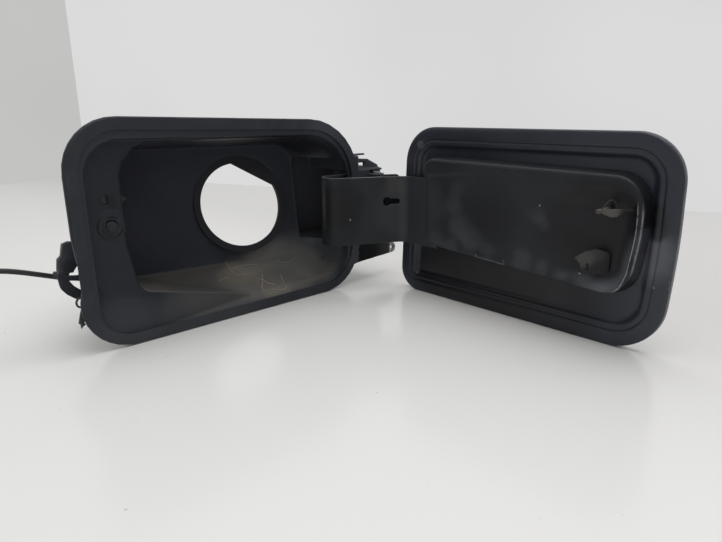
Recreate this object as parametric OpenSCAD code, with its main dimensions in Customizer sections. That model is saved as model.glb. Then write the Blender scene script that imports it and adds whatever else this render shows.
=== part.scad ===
// Fuel filler flap of a car: a moulded housing with a flange and a deep pot,
// and a lid that swings on a wide gooseneck arm. The lid stands open.

/* [Flange] */
// Length of the flange, from its latch end to its hinge end
flange_w = 267; // [264:1:270]
// Height of the flange at its middle
flange_h = 165.6; // [163:0.2:168]
// Thickness of the flange plate
flange_t = 2.2; // [2:0.1:2.4]

/* [Pot] */
// Thickness of the pot's walls
wall = 2.3; // [2:0.1:2.4]
// Depth of the shelf behind the flange's face
shelf_y = 10; // [9.6:0.1:10.4]
// Depth of the pot's floor at the filler neck hole
pot_y = 62; // [59:1:65]
// Free diameter of the filler neck hole, inside its rubber collar
neck_d = 78.6; // [76:0.2:79]

/* [Hinge] */
// Diameter of the hinge pin
pin_d = 5; // [4:0.5:6]
// Thickness of the gooseneck arm
arm_t = 3.2; // [3:0.1:3.4]
// Angle that the lid is swung open
open_angle = 90; // [60:5:90]

/* [Lid] */
// Length of the lid
lid_w = 247; // [244:1:248]
// Height of the lid
lid_h = 157.6; // [154:0.2:158]
// Gap between the flange's face and the shut lid's hem
lid_gap = 2.5; // [2.4:0.1:2.8]

/* [Lock] */
// Diameter of the lock's sliding pin
bolt_d = 4.4; // [4:0.1:4.6]
// Travel of the lock's sliding pin
bolt_travel = 9; // [8:0.5:9]

/* [Hidden] */
$fn = 64;
eps = 0.01;

black_plastic = [0.10, 0.10, 0.11];
rubber = [0.07, 0.07, 0.08];
paint = [0.03, 0.04, 0.09];
steel = [0.62, 0.62, 0.64];
copper = [0.55, 0.30, 0.15];

// Flange: its top edge falls a little towards the hinge end
flange_fall = 2.4;
flange_corners = [[0, 0], [flange_w, 0], [flange_w, flange_h - flange_fall], [0, flange_h + flange_fall]];
flange_radii = [36, 42.5, 59, 38.5];
skirt_depth = 4;
skirt_t = 2;
band_w = 13;
band_low = 4.8;

// Recess behind the flange, ramped at its foot, and the deep pot inside it
rim_corners = [
    [band_w, band_low], [flange_w - band_w, band_low],
    [flange_w - band_w, flange_h - band_w - 2.6], [band_w, flange_h - band_w - 0.6]
];
rim_radii = [27, 34, 46, 26];
recess_corners = [
    [band_w, 40], [146, band_w], [flange_w - band_w, band_w],
    [flange_w - band_w, flange_h - band_w - 2.6], [band_w, flange_h - band_w - 0.6]
];
recess_radii = [24, 60, 30, 46, 26];
pot_mouth = [
    [47, 37.5], [146, band_w + 0.5], [flange_w - band_w - 1, band_w + 0.5],
    [flange_w - band_w - 1, flange_h - band_w - 3.6], [40, flange_h - band_w - 3.6], [40, 75]
];
pot_mouth_radii = [12, 40, 29, 45, 22, 30];
pot_floor = [[52, 31], [228, 31], [228, 140], [52, 140]];
pot_floor_radii = [16, 20, 20, 16];
floor_at = [167, pot_y, 86];
floor_turn = 8;
floor_lean = 6;

// Filler neck hole: its collar leans further than the floor around it
neck_at = [170.2, pot_y - 1, 85];
neck_turn = 10;
neck_lean = 13;
neck_r = neck_d / 2;
neck_boss = 9;
seal_t = 3.9;
seal_back = 7;
seal_lip = 2;
seal_step = 2.2;
seal_rim = 2.4;
seal_play = 0.3;
rim_r = neck_r + seal_t + seal_rim;

// Bump stop on the shelf
stop_at = [31.5, 93];
stop_r = 2.6;
stop_head = 3.6;

// Hinge
pivot = [flange_w + 24, -1.5];
arm_low = 48.5;
arm_high = 112;
arm_gap = 1.6;
barrel_low = 55;
barrel_high = 106;
barrel_notch = 14;
barrel_r = 6.5;
bush_r = 4;
bush_flange = 1.2;
bush_len = 12;
ear_gap = 0.4;
ear_t = 3.5;
ear_r = 8;
ear_low = barrel_low - bush_flange - ear_gap - ear_t;
ear_high = barrel_high + bush_flange + ear_gap;
ear_link = [5, 11];
box_low = arm_low - arm_gap;
box_high = arm_high + arm_gap;
box_left = flange_w - 38;
box_right = pivot[0] + 11.5;
box_front = 6;
box_deep = 74.5;
box_tall = 127;
box_tall_end = flange_w - 1;
box_mouth = pivot[0] - 8;
pin_play = 0.05;
spring_t = 0.8;
spring_bend = 6;
spring_play = 0.3;

// Gooseneck, drawn with the lid open at a right angle: leg behind the flange, bend, outer leg
bend_r = 14;
leg_back = pivot[1] + 8.9;
bend_at = [pivot[0] - 58.4, leg_back - bend_r];
outer_turn = 244.7;
knee_r = 12;
tail_x = pivot[0] + pivot[1] + lid_gap - 8 + arm_t / 2;
arm_end_y = -110;
keyhole_at = 268.5;
keyhole_z = 88.5;

// Lid, drawn shut: y runs from its outer face to the pot, and hem_y is the hem's inner face
hem_y = -lid_gap;
lid_left = (flange_w - lid_w) / 2 - 3.3;
lid_right = lid_left + lid_w;
lid_bow = 3;
bow_r = 500;
lid_corners = [
    [lid_left + lid_bow, 0], [lid_right + 2.2, 0], [lid_right - 2.4, lid_h - 0.4],
    [lid_left + lid_bow, lid_h], [lid_left, lid_h / 2]
];
lid_radii = [38, 21, 33, 35, bow_r];
sheet_t = 0.8;
hem_w = 12;
tray_inset = 17;
tray_floor = -5;
skin_deep = -7.8;

// Raised panel of the lid carrier
plateau = 8;
panel_corners = [[33, 40], [222, 50.8], [224, 130.4], [31, 128], [27.5, 92]];
panel_radii = [22, 8, 10, 22, 150];
panel_wall = 2.3;
bowl_corners = [[36, 48], [112, 50.5], [112, 113], [35, 113]];
bowl_radii = [22, 18, 18, 20];
bowl_floor = 2;
slot_x = [133, 166];
slot_z = [50.5, 55];
rivet_spots = [[133, 116], [92, 120], [113, 67], [180, 62], [180, 118]];
rivet_r = 1.5;

// Lock: the pin's line, the hook it meets and the casing behind the shelf
bolt_y = shelf_y + 6.8;
bolt_z = 108.2;
bolt_r = bolt_d / 2;
hook_x = 50.5;
hook_t = 3.6;
hook_low = 101.5;
hook_high = 105.4;
hook_reach = 27;
holder_x = 51;
holder_t = 2.4;
wire_r = 0.6;
wire_foot = 5;
wire_bend_r = 3.1;
wire_at = bolt_z + 0.3;
casing_x = [14, 37];
casing_z = [92, 122];
casing_y = [shelf_y + wall, shelf_y + wall + 30];
casing_wall = 1.8;
cover_t = 2;
coil_y = 31;
plunger_r = 3.5;
bridge_x = [16.3, 18.8];
coil_x = [bridge_x[1] + bolt_travel + 0.6, 35.1];
plunger_end = 25;
bolt_tip = hook_x + hook_t + 1.4 - bolt_travel;
boss_r = 3.2;
bosses = [[31.5, casing_z[0] - 2.6], [19.5, casing_z[1] + 2.6]];

// Lead: a hand-laid route from the casing, over the table's edge of the part, to the coil
lead_r = 1.95;
lead_route = [
    [26, 36, 92], [26, 36, 77], [26, 36, 62], [22.2, 36, 52.4], [13, 36, 48.6], [8.2, 36, 49.5],
    [-4, 36, 54.5], [-14, 36, 57.7], [-26, 36, 61.3], [-38, 36, 64.6], [-54, 35, 67], [-68, 33, 63],
    [-78, 30, 52], [-84, 26, 38], [-88, 20, 23], [-92, 10, 10], [-95, -3, 4.6], [-96, -14, 3.9], [-96, -22, 3.9]
];
coil_r = 21.5;
coil_w = 4 * lead_r;
coil_at = [-96 - coil_r, -22];
plug_size = [20, 11, 8];

// Rubber elbow that hugs the lead beside the flange, thicker at its top
boot_route = [
    [18, 29.6, 85.6], [11, 29.6, 82], [5, 29.6, 76], [2.4, 29.6, 69], [0.6, 29.6, 62],
    [0, 29.6, 56], [0.6, 29.6, 49], [3.7, 29.6, 42.7], [8.7, 29.6, 38.4], [15, 29.6, 35]
];
boot_r = 4.3;
boot_top_r = 5.4;

// The middle of the part's footprint, without the lead, stands on the origin
reach_left = -4.79;
reach_right = flange_w + 56.4;
lug_r = 5.6;
lug_x = reach_right - lug_r;
lug_z = 29.5;
lug_bore = 5;
mid_x = (reach_left + reach_right) / 2;
lid_tip_y = pivot[1] - pivot[0] + lid_left + bow_r * (1 / cos(atan(lid_bow / (lid_h / 2))) - 1);
back_corner = [pot_floor[3][0] + pot_floor_radii[3] - floor_at[0], pot_floor[3][1] - pot_floor_radii[3] - floor_at[2]];
back_slope = [-sin(floor_turn), sin(floor_lean) * cos(floor_turn)];
pot_back = pot_y + back_corner * back_slope + (pot_floor_radii[3] + wall) * norm(back_slope)
    + wall * cos(floor_lean) * cos(floor_turn);
mid_y = (lid_tip_y + pot_back) / 2;

function unit(v) = v / norm(v);
function last(v) = len(v) - 1;

// Points of an arc of radius r that rounds the corner b between a and c
function corner_arc(a, b, c, r, n = 8) =
    let (u = unit(a - b), v = unit(c - b), half = acos(u * v) / 2,
         centre = b + unit(u + v) * r / sin(half),
         p = b + u * r / tan(half) - centre, q = b + v * r / tan(half) - centre,
         from = atan2(p[1], p[0]), turn = (atan2(q[1], q[0]) - from + 540) % 360 - 180)
    [for (i = [0:n]) centre + r * [cos(from + turn * i / n), sin(from + turn * i / n)]];

// Rounded outline through the corners, moved outwards by g
function outline(corners, radii, g = 0) =
    let (n = len(corners), moved = grown(corners, g))
    [for (i = [0:n - 1]) each corner_arc(moved[(i + n - 1) % n], moved[i], moved[(i + 1) % n], radii[i] + g)];

function grown(corners, g) =
    let (n = len(corners))
    [for (i = [0:n - 1])
        let (b = corners[i], u = unit(corners[(i + n - 1) % n] - b), v = unit(corners[(i + 1) % n] - b))
        b - unit(u + v) * g / sin(acos(u * v) / 2)];

function arc(centre, r, from, to, n = 12) =
    [for (i = [0:n]) centre + r * [cos(from + (to - from) * i / n), sin(from + (to - from) * i / n)]];

// Outline of a strip of thickness t along a path
function side_of(path, i) =
    let (a = unit(path[min(i + 1, last(path))] - path[max(i - 1, 0)])) [-a[1], a[0]];
function ribbon(path, t) = concat(
    [for (i = [0:last(path)]) path[i] + side_of(path, i) * t / 2],
    [for (i = [last(path):-1:0]) path[i] - side_of(path, i) * t / 2]);

// Smooth curve through hand-laid points, two steps to each
function curve_point(p, i, t) =
    let (a = p[max(i - 1, 0)], b = p[i], c = p[i + 1], d = p[min(i + 2, last(p))])
    0.5 * (2 * b + (c - a) * t + (2 * a - 5 * b + 4 * c - d) * t * t + (3 * b - a - 3 * c + d) * t * t * t);
function smooth(p, steps = 2) = concat(
    [for (i = [0:last(p) - 1]) for (s = [0:steps - 1]) curve_point(p, i, s / steps)], [p[last(p)]]);

// Round section of the given radii swept along points, about a direction they never run along
module sweep(points, radii, sides, reference) {
    rings = [for (i = [0:last(points)])
        let (t = unit(points[min(i + 1, last(points))] - points[max(i - 1, 0)]),
             s = unit(cross(t, reference)), u = cross(t, s))
        for (j = [0:sides - 1]) points[i] + radii[i] * (cos(360 * j / sides) * s + sin(360 * j / sides) * u)];
    skin = [for (i = [0:last(points) - 1]) for (j = [0:sides - 1])
        let (a = i * sides + j, b = i * sides + (j + 1) % sides)
        each [[a, a + sides, b + sides], [a, b + sides, b]]];
    first_cap = [for (j = [0:sides - 1]) j];
    end_cap = [for (j = [sides - 1:-1:0]) last(points) * sides + j];
    polyhedron(rings, concat(skin, [first_cap, end_cap]), convexity = 8);
}

// An outline drawn in the flange's plane, made solid from depth y0 to y1
module slab(points, y0, y1) {
    translate([0, y1, 0]) rotate([90, 0, 0]) linear_extrude(y1 - y0) polygon(points);
}

module block(low, high) {
    translate(low) cube(high - low);
}

// Cylinder along Y from depth y0 to y1
module post(x, z, r, y0, y1) {
    translate([x, y1, z]) rotate([90, 0, 0]) cylinder(r = r, h = y1 - y0);
}

// Cylinder along X
module rod(x0, x1, y, z, r) {
    translate([x0, y, z]) rotate([0, 90, 0]) cylinder(r = r, h = x1 - x0);
}

module placed() {
    translate([-mid_x, -mid_y, 0]) children();
}

// Children drawn with the lid shut, swung open
module swung(angle = open_angle) {
    translate([pivot[0], pivot[1], 0]) rotate([0, 0, angle]) translate([-pivot[0], -pivot[1], 0]) children();
}

// Children drawn square to the filler neck, with Z along it and away from the car's outside
module at_neck() {
    translate(neck_at) rotate([-neck_lean, 0, -neck_turn]) rotate([-90, 0, 0]) children();
}

module recess_form(g) {
    hull() {
        slab(outline(rim_corners, rim_radii, g), flange_t - 0.5, flange_t);
        slab(outline(recess_corners, recess_radii, g), shelf_y - 0.5, shelf_y + g);
    }
}

module pot_form(g) {
    hull() {
        slab(outline(pot_mouth, pot_mouth_radii, g), shelf_y - 1, shelf_y);
        translate(floor_at) rotate([-floor_lean, 0, -floor_turn]) translate([-floor_at[0], 0, -floor_at[2]])
            slab(outline(pot_floor, pot_floor_radii, g), -1, g);
    }
}

module hinge_box_form(g, low, high) {
    corners = [[box_left, 0], [box_right, 0], [box_right, box_deep], [box_left, box_deep]];
    translate([0, 0, low]) linear_extrude(high - low) intersection() {
        polygon(outline(corners, [0.1, 0.1, 8, 20], g));
        translate([0, 0]) square([500, 500]);
    }
}

// Eyes that hold the pin, each linked to the front edge of the hinge box
module ears() {
    for (low = [ear_low, ear_high]) {
        translate([0, 0, low]) linear_extrude(ear_t) union() {
            translate(pivot) circle(ear_r);
            translate([pivot[0] - ear_r / 2, ear_link[0]])
                square([box_right + wall + ear_r / 2 - pivot[0], ear_link[1] - ear_link[0]]);
        }
    }
}

module upper_bracket() {
    front = 3.4;
    back = front + 3;
    difference() {
        slab([[flange_w - 8, box_high], [pivot[0] + 9, box_high], [pivot[0] + 7, box_high + 5.4],
              [pivot[0] - 1, box_high + 9], [flange_w + 17, box_high + 11.8], [flange_w - 8, box_high + 13.4]],
             front, back);
        block([flange_w + 1, 1, box_high + 5], [flange_w + 12, 9, box_high + 8.4]);
    }
    block([flange_w - 8, front, box_high + 13], [flange_w - 2, back, box_high + 17.6]);
    block([flange_w - 8, front, box_high + 15.6], [flange_w + 13, back, box_high + 17.6]);
}

// Pointed lug with a fixing eye and short ribs behind it
module lower_lug() {
    low = box_low - wall;
    foot = lug_z - lug_r;
    tip = lug_z + lug_r;
    difference() {
        union() {
            slab([[flange_w - 12, low + 0.5], [flange_w - 12, foot - 4.4], [flange_w + 3, foot - 2.4],
                  [lug_x, foot], [lug_x, tip], [flange_w + 24, low - 6], [flange_w + 17, low + 0.5]], 0, 4);
            post(lug_x, lug_z, lug_r, 0, 4);
            for (x = [flange_w + 12:9:flange_w + 35]) {
                block([x, 3.5, foot], [x + 1.8, 10, low - 8]);
            }
        }
        post(lug_x, lug_z, lug_bore / 2, -1, 5);
    }
}

module gussets() {
    for (x = [60, 105, 150, 195]) {
        top = flange_h - band_w;
        translate([x, 0, 0]) rotate([90, 0, 90]) linear_extrude(2)
            polygon([[flange_t - eps, top], [flange_t - eps, top + 9], [22, top - 4], [shelf_y, top - 8]]);
    }
}

module housing_walls() {
    slab(outline(flange_corners, flange_radii), 0, flange_t);
    difference() {
        slab(outline(flange_corners, flange_radii), 0, skirt_depth);
        slab(outline(flange_corners, flange_radii, -skirt_t), -1, skirt_depth + 1);
    }
    recess_form(wall);
    pot_form(wall);
    difference() {
        hinge_box_form(wall, box_low - wall, box_high + wall);
        block([box_right - 1, -1, 0], [box_right + wall + 1, box_front, 200]);
    }
    intersection() {
        hinge_box_form(wall, box_low, box_tall + wall);
        block([0, -1, 0], [box_tall_end + wall, 100, 200]);
    }
    upper_bracket();
    lower_lug();
    gussets();
    at_neck() cylinder(r = rim_r + wall, h = neck_boss);
}

// Hollow of the recess and the pot, with the stepped hole for the neck's collar
module housing_room() {
    slab(outline(rim_corners, rim_radii), -1, flange_t - 0.3);
    recess_form(0);
    pot_form(0);
    hinge_cavity();
    at_neck() translate([0, 0, -20]) cylinder(r = rim_r + seal_play, h = 20);
    at_neck() translate([0, 0, -1]) cylinder(r = neck_r + seal_t, h = neck_boss + 2);
}

module filler_housing() {
    color(black_plastic) placed() difference() {
        union() {
            difference() {
                housing_walls();
                housing_room();
            }
            ears();
            stop_rings();
        }
        translate([pivot[0], pivot[1], ear_low - 1]) cylinder(r = pin_d / 2 + 0.02, h = 100);
        post(stop_at[0], stop_at[1], stop_r, shelf_y - 2, shelf_y + wall + 1);
        block([25.5, shelf_y - 1, 105.5], [30.5, shelf_y + wall + 1, 113]);
        rod(37, 46, bolt_y, bolt_z, 4);
    }
}

// Two round ridges on the shelf about the bump stop
module stop_rings() {
    for (ring = [[4.8, 6], [7.2, 8.4]]) {
        difference() {
            post(stop_at[0], stop_at[1], ring[1], shelf_y - 1, shelf_y + 0.5);
            post(stop_at[0], stop_at[1], ring[0], shelf_y - 2, shelf_y + 1);
        }
    }
}

// Room for the gooseneck: behind the flange, open to the pot, and open in front beside the pin
module hinge_cavity() {
    intersection() {
        hinge_box_form(0, box_low, box_high);
        block([0, flange_t, 0], [500, 100, 200]);
    }
    intersection() {
        hinge_box_form(0, box_low, box_tall);
        block([0, flange_t, 0], [box_tall_end, 100, 200]);
    }
    block([box_mouth, -30, box_low], [box_right, 10, box_high]);
}

module rim_seal() {
    color(rubber) placed() difference() {
        slab(outline(flange_corners, flange_radii, -1), -1.6, 0);
        slab(outline(flange_corners, flange_radii, -9), -3, 1);
    }
}

module neck_seal() {
    chord = 0.8 * neck_r;
    tube_r = neck_r + seal_step;
    color(rubber) placed() at_neck() difference() {
        rotate_extrude($fn = 96) polygon([
            [0, -seal_lip], [rim_r, -seal_lip], [rim_r, 0], [neck_r + seal_t, 0], [neck_r + seal_t, seal_back],
            [tube_r, seal_back], [tube_r, 1.6 - seal_lip], [0, 1.6 - seal_lip]]);
        translate([0, 0, -seal_lip - 1]) linear_extrude(4) difference() {
            circle(neck_r, $fn = 96);
            rotate([0, 0, -60]) translate([chord, -neck_r]) square([neck_r, neck_d]);
        }
    }
}

module bump_stop() {
    top = shelf_y - 4.2;
    back = shelf_y + wall;
    color(rubber) placed() translate([stop_at[0], 0, stop_at[1]]) rotate([-90, 0, 0]) rotate_extrude() polygon([
        [0, top], [stop_head - 1.6, top + 0.3], [stop_head - 0.4, top + 1.4], [stop_head, top + 2.8],
        [stop_head, shelf_y], [stop_r, shelf_y], [stop_r, back], [0, back]]);
}

module lock_casing() {
    inner_x = [casing_x[0] + casing_wall, casing_x[1] - casing_wall];
    color(black_plastic) placed() difference() {
        union() {
            block([casing_x[0], casing_y[0], casing_z[0]], [casing_x[1], casing_y[1], casing_z[1]]);
            for (b = bosses) {
                post(b[0], b[1], boss_r, casing_y[1] - 14, casing_y[1]);
            }
        }
        block([inner_x[0], casing_y[0] + casing_wall, casing_z[0] + casing_wall],
              [inner_x[1], casing_y[1] + 1, casing_z[1] - casing_wall]);
        rod(inner_x[1] - 1, casing_x[1] + 1, bolt_y, bolt_z, bolt_r + 0.08);
        for (b = bosses) {
            post(b[0], b[1], 1.25, casing_y[1] - 9, casing_y[1] + 1);
        }
    }
}

module lock_cover() {
    color(black_plastic) placed() difference() {
        union() {
            block([casing_x[0] - 1, casing_y[1], casing_z[0]], [casing_x[1], casing_y[1] + cover_t, casing_z[1]]);
            for (b = bosses) {
                post(b[0], b[1], boss_r, casing_y[1], casing_y[1] + cover_t);
            }
        }
        for (b = bosses) {
            post(b[0], b[1], 1.25, casing_y[1] - 1, casing_y[1] + cover_t + 1);
        }
    }
}

module lock_screws() {
    color(steel) placed() for (b = bosses) {
        post(b[0], b[1], 1.2, casing_y[1] - 7, casing_y[1] + cover_t + 0.5);
        post(b[0], b[1], 2.3, casing_y[1] + cover_t, casing_y[1] + cover_t + 1.5);
    }
}

module lock_coil() {
    color(copper) placed() difference() {
        union() {
            rod(coil_x[0], coil_x[1], coil_y, bolt_z, 7.6);
            rod(coil_x[0], coil_x[0] + 1, coil_y, bolt_z, 9.5);
            rod(coil_x[1] - 1, coil_x[1], coil_y, bolt_z, 9.5);
        }
        rod(coil_x[0] - 1, coil_x[1] + 1, coil_y, bolt_z, plunger_r + 0.3);
    }
}

module pin_gaiter() {
    color(rubber) placed() difference() {
        rod(casing_x[1], 42.6, bolt_y, bolt_z, 3.7);
        rod(casing_x[1] - 1, 44, bolt_y, bolt_z, bolt_r + 0.05);
    }
}

module lock_pin() {
    color(steel) placed() union() {
        rod(bridge_x[0] + 1, bolt_tip - bolt_r, bolt_y, bolt_z, bolt_r);
        translate([bolt_tip - bolt_r, bolt_y, bolt_z]) sphere(r = bolt_r);
        block([bridge_x[0], bolt_y - 1.5, bolt_z - 2.4], [bridge_x[1], coil_y + 3.5, bolt_z + 2.4]);
        rod(bridge_x[0] + 1, plunger_end, coil_y, bolt_z, plunger_r);
    }
}

module hinge_pin() {
    tail = 2.2;
    color(steel) placed() translate([pivot[0], pivot[1], 0]) union() {
        translate([0, 0, ear_low - tail]) cylinder(r = pin_d / 2, h = ear_high + ear_t + tail - ear_low);
        translate([0, 0, ear_high + ear_t]) cylinder(r = pin_d / 2 + 1.5, h = 1.8);
    }
}

module pin_clip() {
    color(steel) placed() translate([pivot[0], pivot[1], ear_low - 1]) difference() {
        cylinder(r = pin_d / 2 + 2.2, h = 1);
        translate([0, 0, -1]) cylinder(r = pin_d / 2, h = 3);
    }
}

module hinge_spring() {
    leaf_x = box_right - spring_t / 2;
    bulge_x = pivot[0] + leg_back - pivot[1] + spring_play + spring_t / 2 + spring_bend;
    path = concat([[leaf_x, 50], [leaf_x, 34]], arc([bulge_x, 26], spring_bend, 162, 198, 6),
                  [[leaf_x, 18], [leaf_x, 8]]);
    color(steel) placed() translate([0, 0, 72]) linear_extrude(16) polygon(ribbon(path, spring_t));
}

// Strip clip with a curled eye, held on the back edge of the skirt at its lower corner
module retaining_clips() {
    path = concat(arc([0, 40], 3.6, 20, 300, 12), [[3.2, 33], [2.4, 21]]);
    color(steel) placed() translate([0, skirt_depth + 4, 0]) rotate([90, 0, 0]) linear_extrude(4)
        polygon(ribbon(path, 1.2));
}

module lead_guide() {
    line = smooth(boot_route);
    radii = [for (i = [0:last(line)]) boot_top_r + (boot_r - boot_top_r) * i / last(line)];
    color(rubber) placed() sweep(line, radii, 12, [0, 1, 0]);
}

module lock_lead() {
    line = smooth(lead_route);
    color(rubber) placed() sweep(line, [for (p = line) lead_r], 8, [0.3, 0.9, -0.3]);
}

module lead_coil() {
    color(rubber) placed() translate([coil_at[0], coil_at[1], 0]) rotate_extrude()
        translate([coil_r - coil_w / 2, 0]) square([coil_w, coil_w]);
}

module lead_plug() {
    y = coil_at[1] - coil_r - coil_w / 2;
    color(black_plastic) placed() block([coil_at[0] - plug_size[0] / 2, y - plug_size[1], 0],
                                        [coil_at[0] + plug_size[0] / 2, y, plug_size[2]]);
}

module lid_slab(inset, d0, d1) {
    slab(outline(lid_corners, lid_radii, -inset), hem_y + d0, hem_y + d1);
}

module lid_skin() {
    color(paint) placed() swung() union() {
        lid_slab(0, skin_deep - sheet_t, skin_deep);
        difference() {
            lid_slab(0, skin_deep - eps, 0);
            lid_slab(sheet_t, skin_deep - 1, 1);
        }
        difference() {
            lid_slab(0, -sheet_t, 0);
            lid_slab(hem_w, -2, 1);
        }
    }
}

module lid_inner() {
    color(paint) placed() swung() difference() {
        union() {
            difference() {
                lid_slab(sheet_t, -2 * sheet_t, -sheet_t);
                lid_slab(tray_inset, -3, 1);
            }
            difference() {
                lid_slab(tray_inset, tray_floor - sheet_t, -sheet_t);
                lid_slab(tray_inset + sheet_t, tray_floor, 1);
            }
        }
        for (p = rivet_spots) {
            post(p[0], p[1], rivet_r, hem_y - 10, hem_y);
        }
    }
}

function panel_line(g) = outline(panel_corners, panel_radii, g);

module carrier_panel() {
    difference() {
        union() {
            difference() {
                slab(panel_line(0), hem_y + tray_floor, hem_y + plateau);
                slab(panel_line(-panel_wall), hem_y + tray_floor - 1, hem_y + plateau - panel_wall);
            }
            difference() {
                slab(outline(bowl_corners, bowl_radii, panel_wall - 0.1), hem_y + bowl_floor - panel_wall, hem_y + plateau);
                slab(outline(bowl_corners, bowl_radii), hem_y + bowl_floor, hem_y + plateau + 1);
            }
            for (p = rivet_spots) {
                post(p[0], p[1], 3.5, hem_y + tray_floor, hem_y + plateau - 1);
            }
        }
        slab(outline(bowl_corners, bowl_radii), hem_y + bowl_floor, hem_y + plateau + 1);
        for (p = rivet_spots) {
            post(p[0], p[1], rivet_r, hem_y - 10, hem_y + plateau - panel_wall);
        }
        block([slot_x[0], hem_y - 10, slot_z[0]], [slot_x[1], 20, slot_z[1]]);
    }
}

// Two hooks stand on the bowl's floor: the latch hook above, the cap holder below
module carrier_hooks() {
    base = hem_y + bowl_floor - 0.5;
    tip = hem_y + 25;
    difference() {
        block([hook_x, base, hook_low], [hook_x + hook_t, hem_y + hook_reach, hook_high]);
        for (y = [bolt_y - wire_foot, bolt_y + wire_foot]) {
            translate([hook_x + hook_t / 2, y, hook_low - 1]) cylinder(r = wire_r, h = 10);
        }
    }
    translate([0, 0, hook_low]) linear_extrude(2)
        polygon([[34, base], [34, hem_y + plateau - 0.5], [hook_x + 1, hem_y + 20], [hook_x + 1, base]]);
    translate([holder_x + 13, 0, 0]) rotate([90, 0, -90]) linear_extrude(holder_t) difference() {
        polygon([[-base, 58], [-base, 72], [-tip + 8, 73], [-tip, 69.6], [-tip + 1, 67], [-tip + 8, 62], [-tip + 6, 54.5]]);
        translate([-tip + 11, 64]) circle(2);
    }
    translate([0, 0, 66]) linear_extrude(holder_t)
        polygon([[holder_x - 2, base], [holder_x + 4, tip - 9], [holder_x + 12, tip - 4], [holder_x + 12, base]]);
}

// Blade of the gooseneck, narrowed where the ears reach round its barrel
module arm_form() {
    face = [cos(outer_turn), sin(outer_turn)];
    centre_r = bend_r - arm_t / 2;
    knee_x = tail_x - knee_r;
    knee_y = (face * bend_at + centre_r + knee_r - face[0] * knee_x) / face[1];
    leg = [[pivot[0], leg_back - arm_t / 2], [bend_at[0] + 10, leg_back - arm_t / 2]];
    bend = arc(bend_at, centre_r, 90, outer_turn, 14);
    knee = arc([knee_x, knee_y], knee_r, outer_turn - 180, 0, 6);
    path = concat(leg, bend, knee, [[tail_x, arm_end_y]]);
    difference() {
        translate([0, 0, arm_low]) linear_extrude(arm_high - arm_low) polygon(ribbon(path, arm_t));
        for (z = [[arm_low - 1, barrel_low], [barrel_high, arm_high + 1]]) {
            block([pivot[0] - barrel_notch, 0, z[0]], [pivot[0] + 10, leg_back + 3, z[1]]);
        }
    }
    translate([pivot[0] - barrel_r, pivot[1], barrel_low])
        cube([barrel_r, leg_back - pivot[1] - 0.5, barrel_high - barrel_low]);
}

// Children drawn on the arm's outer leg, with Z out of its front face
module at_keyhole() {
    face = [cos(outer_turn), sin(outer_turn)];
    y = (face * bend_at + bend_r - face[0] * keyhole_at) / face[1];
    translate([keyhole_at, y, keyhole_z]) rotate([0, 0, outer_turn + 90]) rotate([90, 0, 0]) children();
}

// Blind keyhole: its outline goes through the blade, to a thin plate behind
module keyhole() {
    at_keyhole() translate([0, 0, -arm_t]) linear_extrude(8) union() {
        circle(3.9);
        translate([0, -2.3]) square([12, 4.6]);
    }
}

module keyhole_back() {
    at_keyhole() translate([-6, -6, -arm_t - 1.2]) cube([21, 12, 1.6]);
}

module lid_carrier() {
    color(black_plastic) placed() difference() {
        union() {
            swung(open_angle - 90) arm_form();
            swung(open_angle - 90) keyhole_back();
            translate([pivot[0], pivot[1], barrel_low]) cylinder(r = barrel_r, h = barrel_high - barrel_low);
            swung() carrier_panel();
            swung() carrier_hooks();
        }
        translate([pivot[0], pivot[1], 0]) cylinder(r = bush_r, h = 200);
        swung(open_angle - 90) keyhole();
    }
}

module carrier_rivets() {
    color(steel) placed() swung() for (p = rivet_spots) {
        post(p[0], p[1], rivet_r, hem_y + tray_floor - sheet_t, hem_y + plateau - panel_wall);
        post(p[0], p[1], 3.2, hem_y + tray_floor - sheet_t - 1, hem_y + tray_floor - sheet_t);
    }
}

module hinge_bushes() {
    color([0.8, 0.8, 0.76]) placed() translate([pivot[0], pivot[1], 0]) {
        for (end = [0, 1]) {
            z = end == 0 ? barrel_low : barrel_high - bush_len;
            flange_z = end == 0 ? barrel_low - bush_flange : barrel_high;
            difference() {
                union() {
                    translate([0, 0, z]) cylinder(r = bush_r, h = bush_len);
                    translate([0, 0, flange_z]) cylinder(r = barrel_r - 0.5, h = bush_flange);
                }
                translate([0, 0, barrel_low - 5]) cylinder(r = pin_d / 2 + pin_play, h = 90);
            }
        }
    }
}

// Bent wire that stands on the latch hook as a low peak, over the lock's pin
module latch_wire() {
    rise = hook_high - wire_at;
    far = norm([wire_foot, rise]);
    lean = atan2(rise, wire_foot) + acos(wire_bend_r / far);
    bend = arc([bolt_y, wire_at], wire_bend_r, lean, 180 - lean, 10);
    line = concat([[bolt_y + wire_foot, hook_low], [bolt_y + wire_foot, hook_high]], bend,
                  [[bolt_y - wire_foot, hook_high], [bolt_y - wire_foot, hook_low]]);
    color(steel) placed() swung()
        sweep([for (p = line) [hook_x + hook_t / 2, p[0], p[1]]], [for (p = line) wire_r], 10, [1, 0, 0]);
}

filler_housing();
rim_seal();
neck_seal();
bump_stop();
lock_casing();
lock_cover();
lock_screws();
lock_coil();
pin_gaiter();
lock_pin();
hinge_pin();
pin_clip();
hinge_spring();
retaining_clips();
lead_guide();
lock_lead();
lead_coil();
lead_plug();
lid_skin();
lid_inner();
lid_carrier();
carrier_rivets();
hinge_bushes();
latch_wire();
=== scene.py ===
import math

import bmesh
import bpy
import numpy as np
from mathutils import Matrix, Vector
from mathutils.bvhtree import BVHTree
from mathutils.geometry import delaunay_2d_cdt


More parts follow.
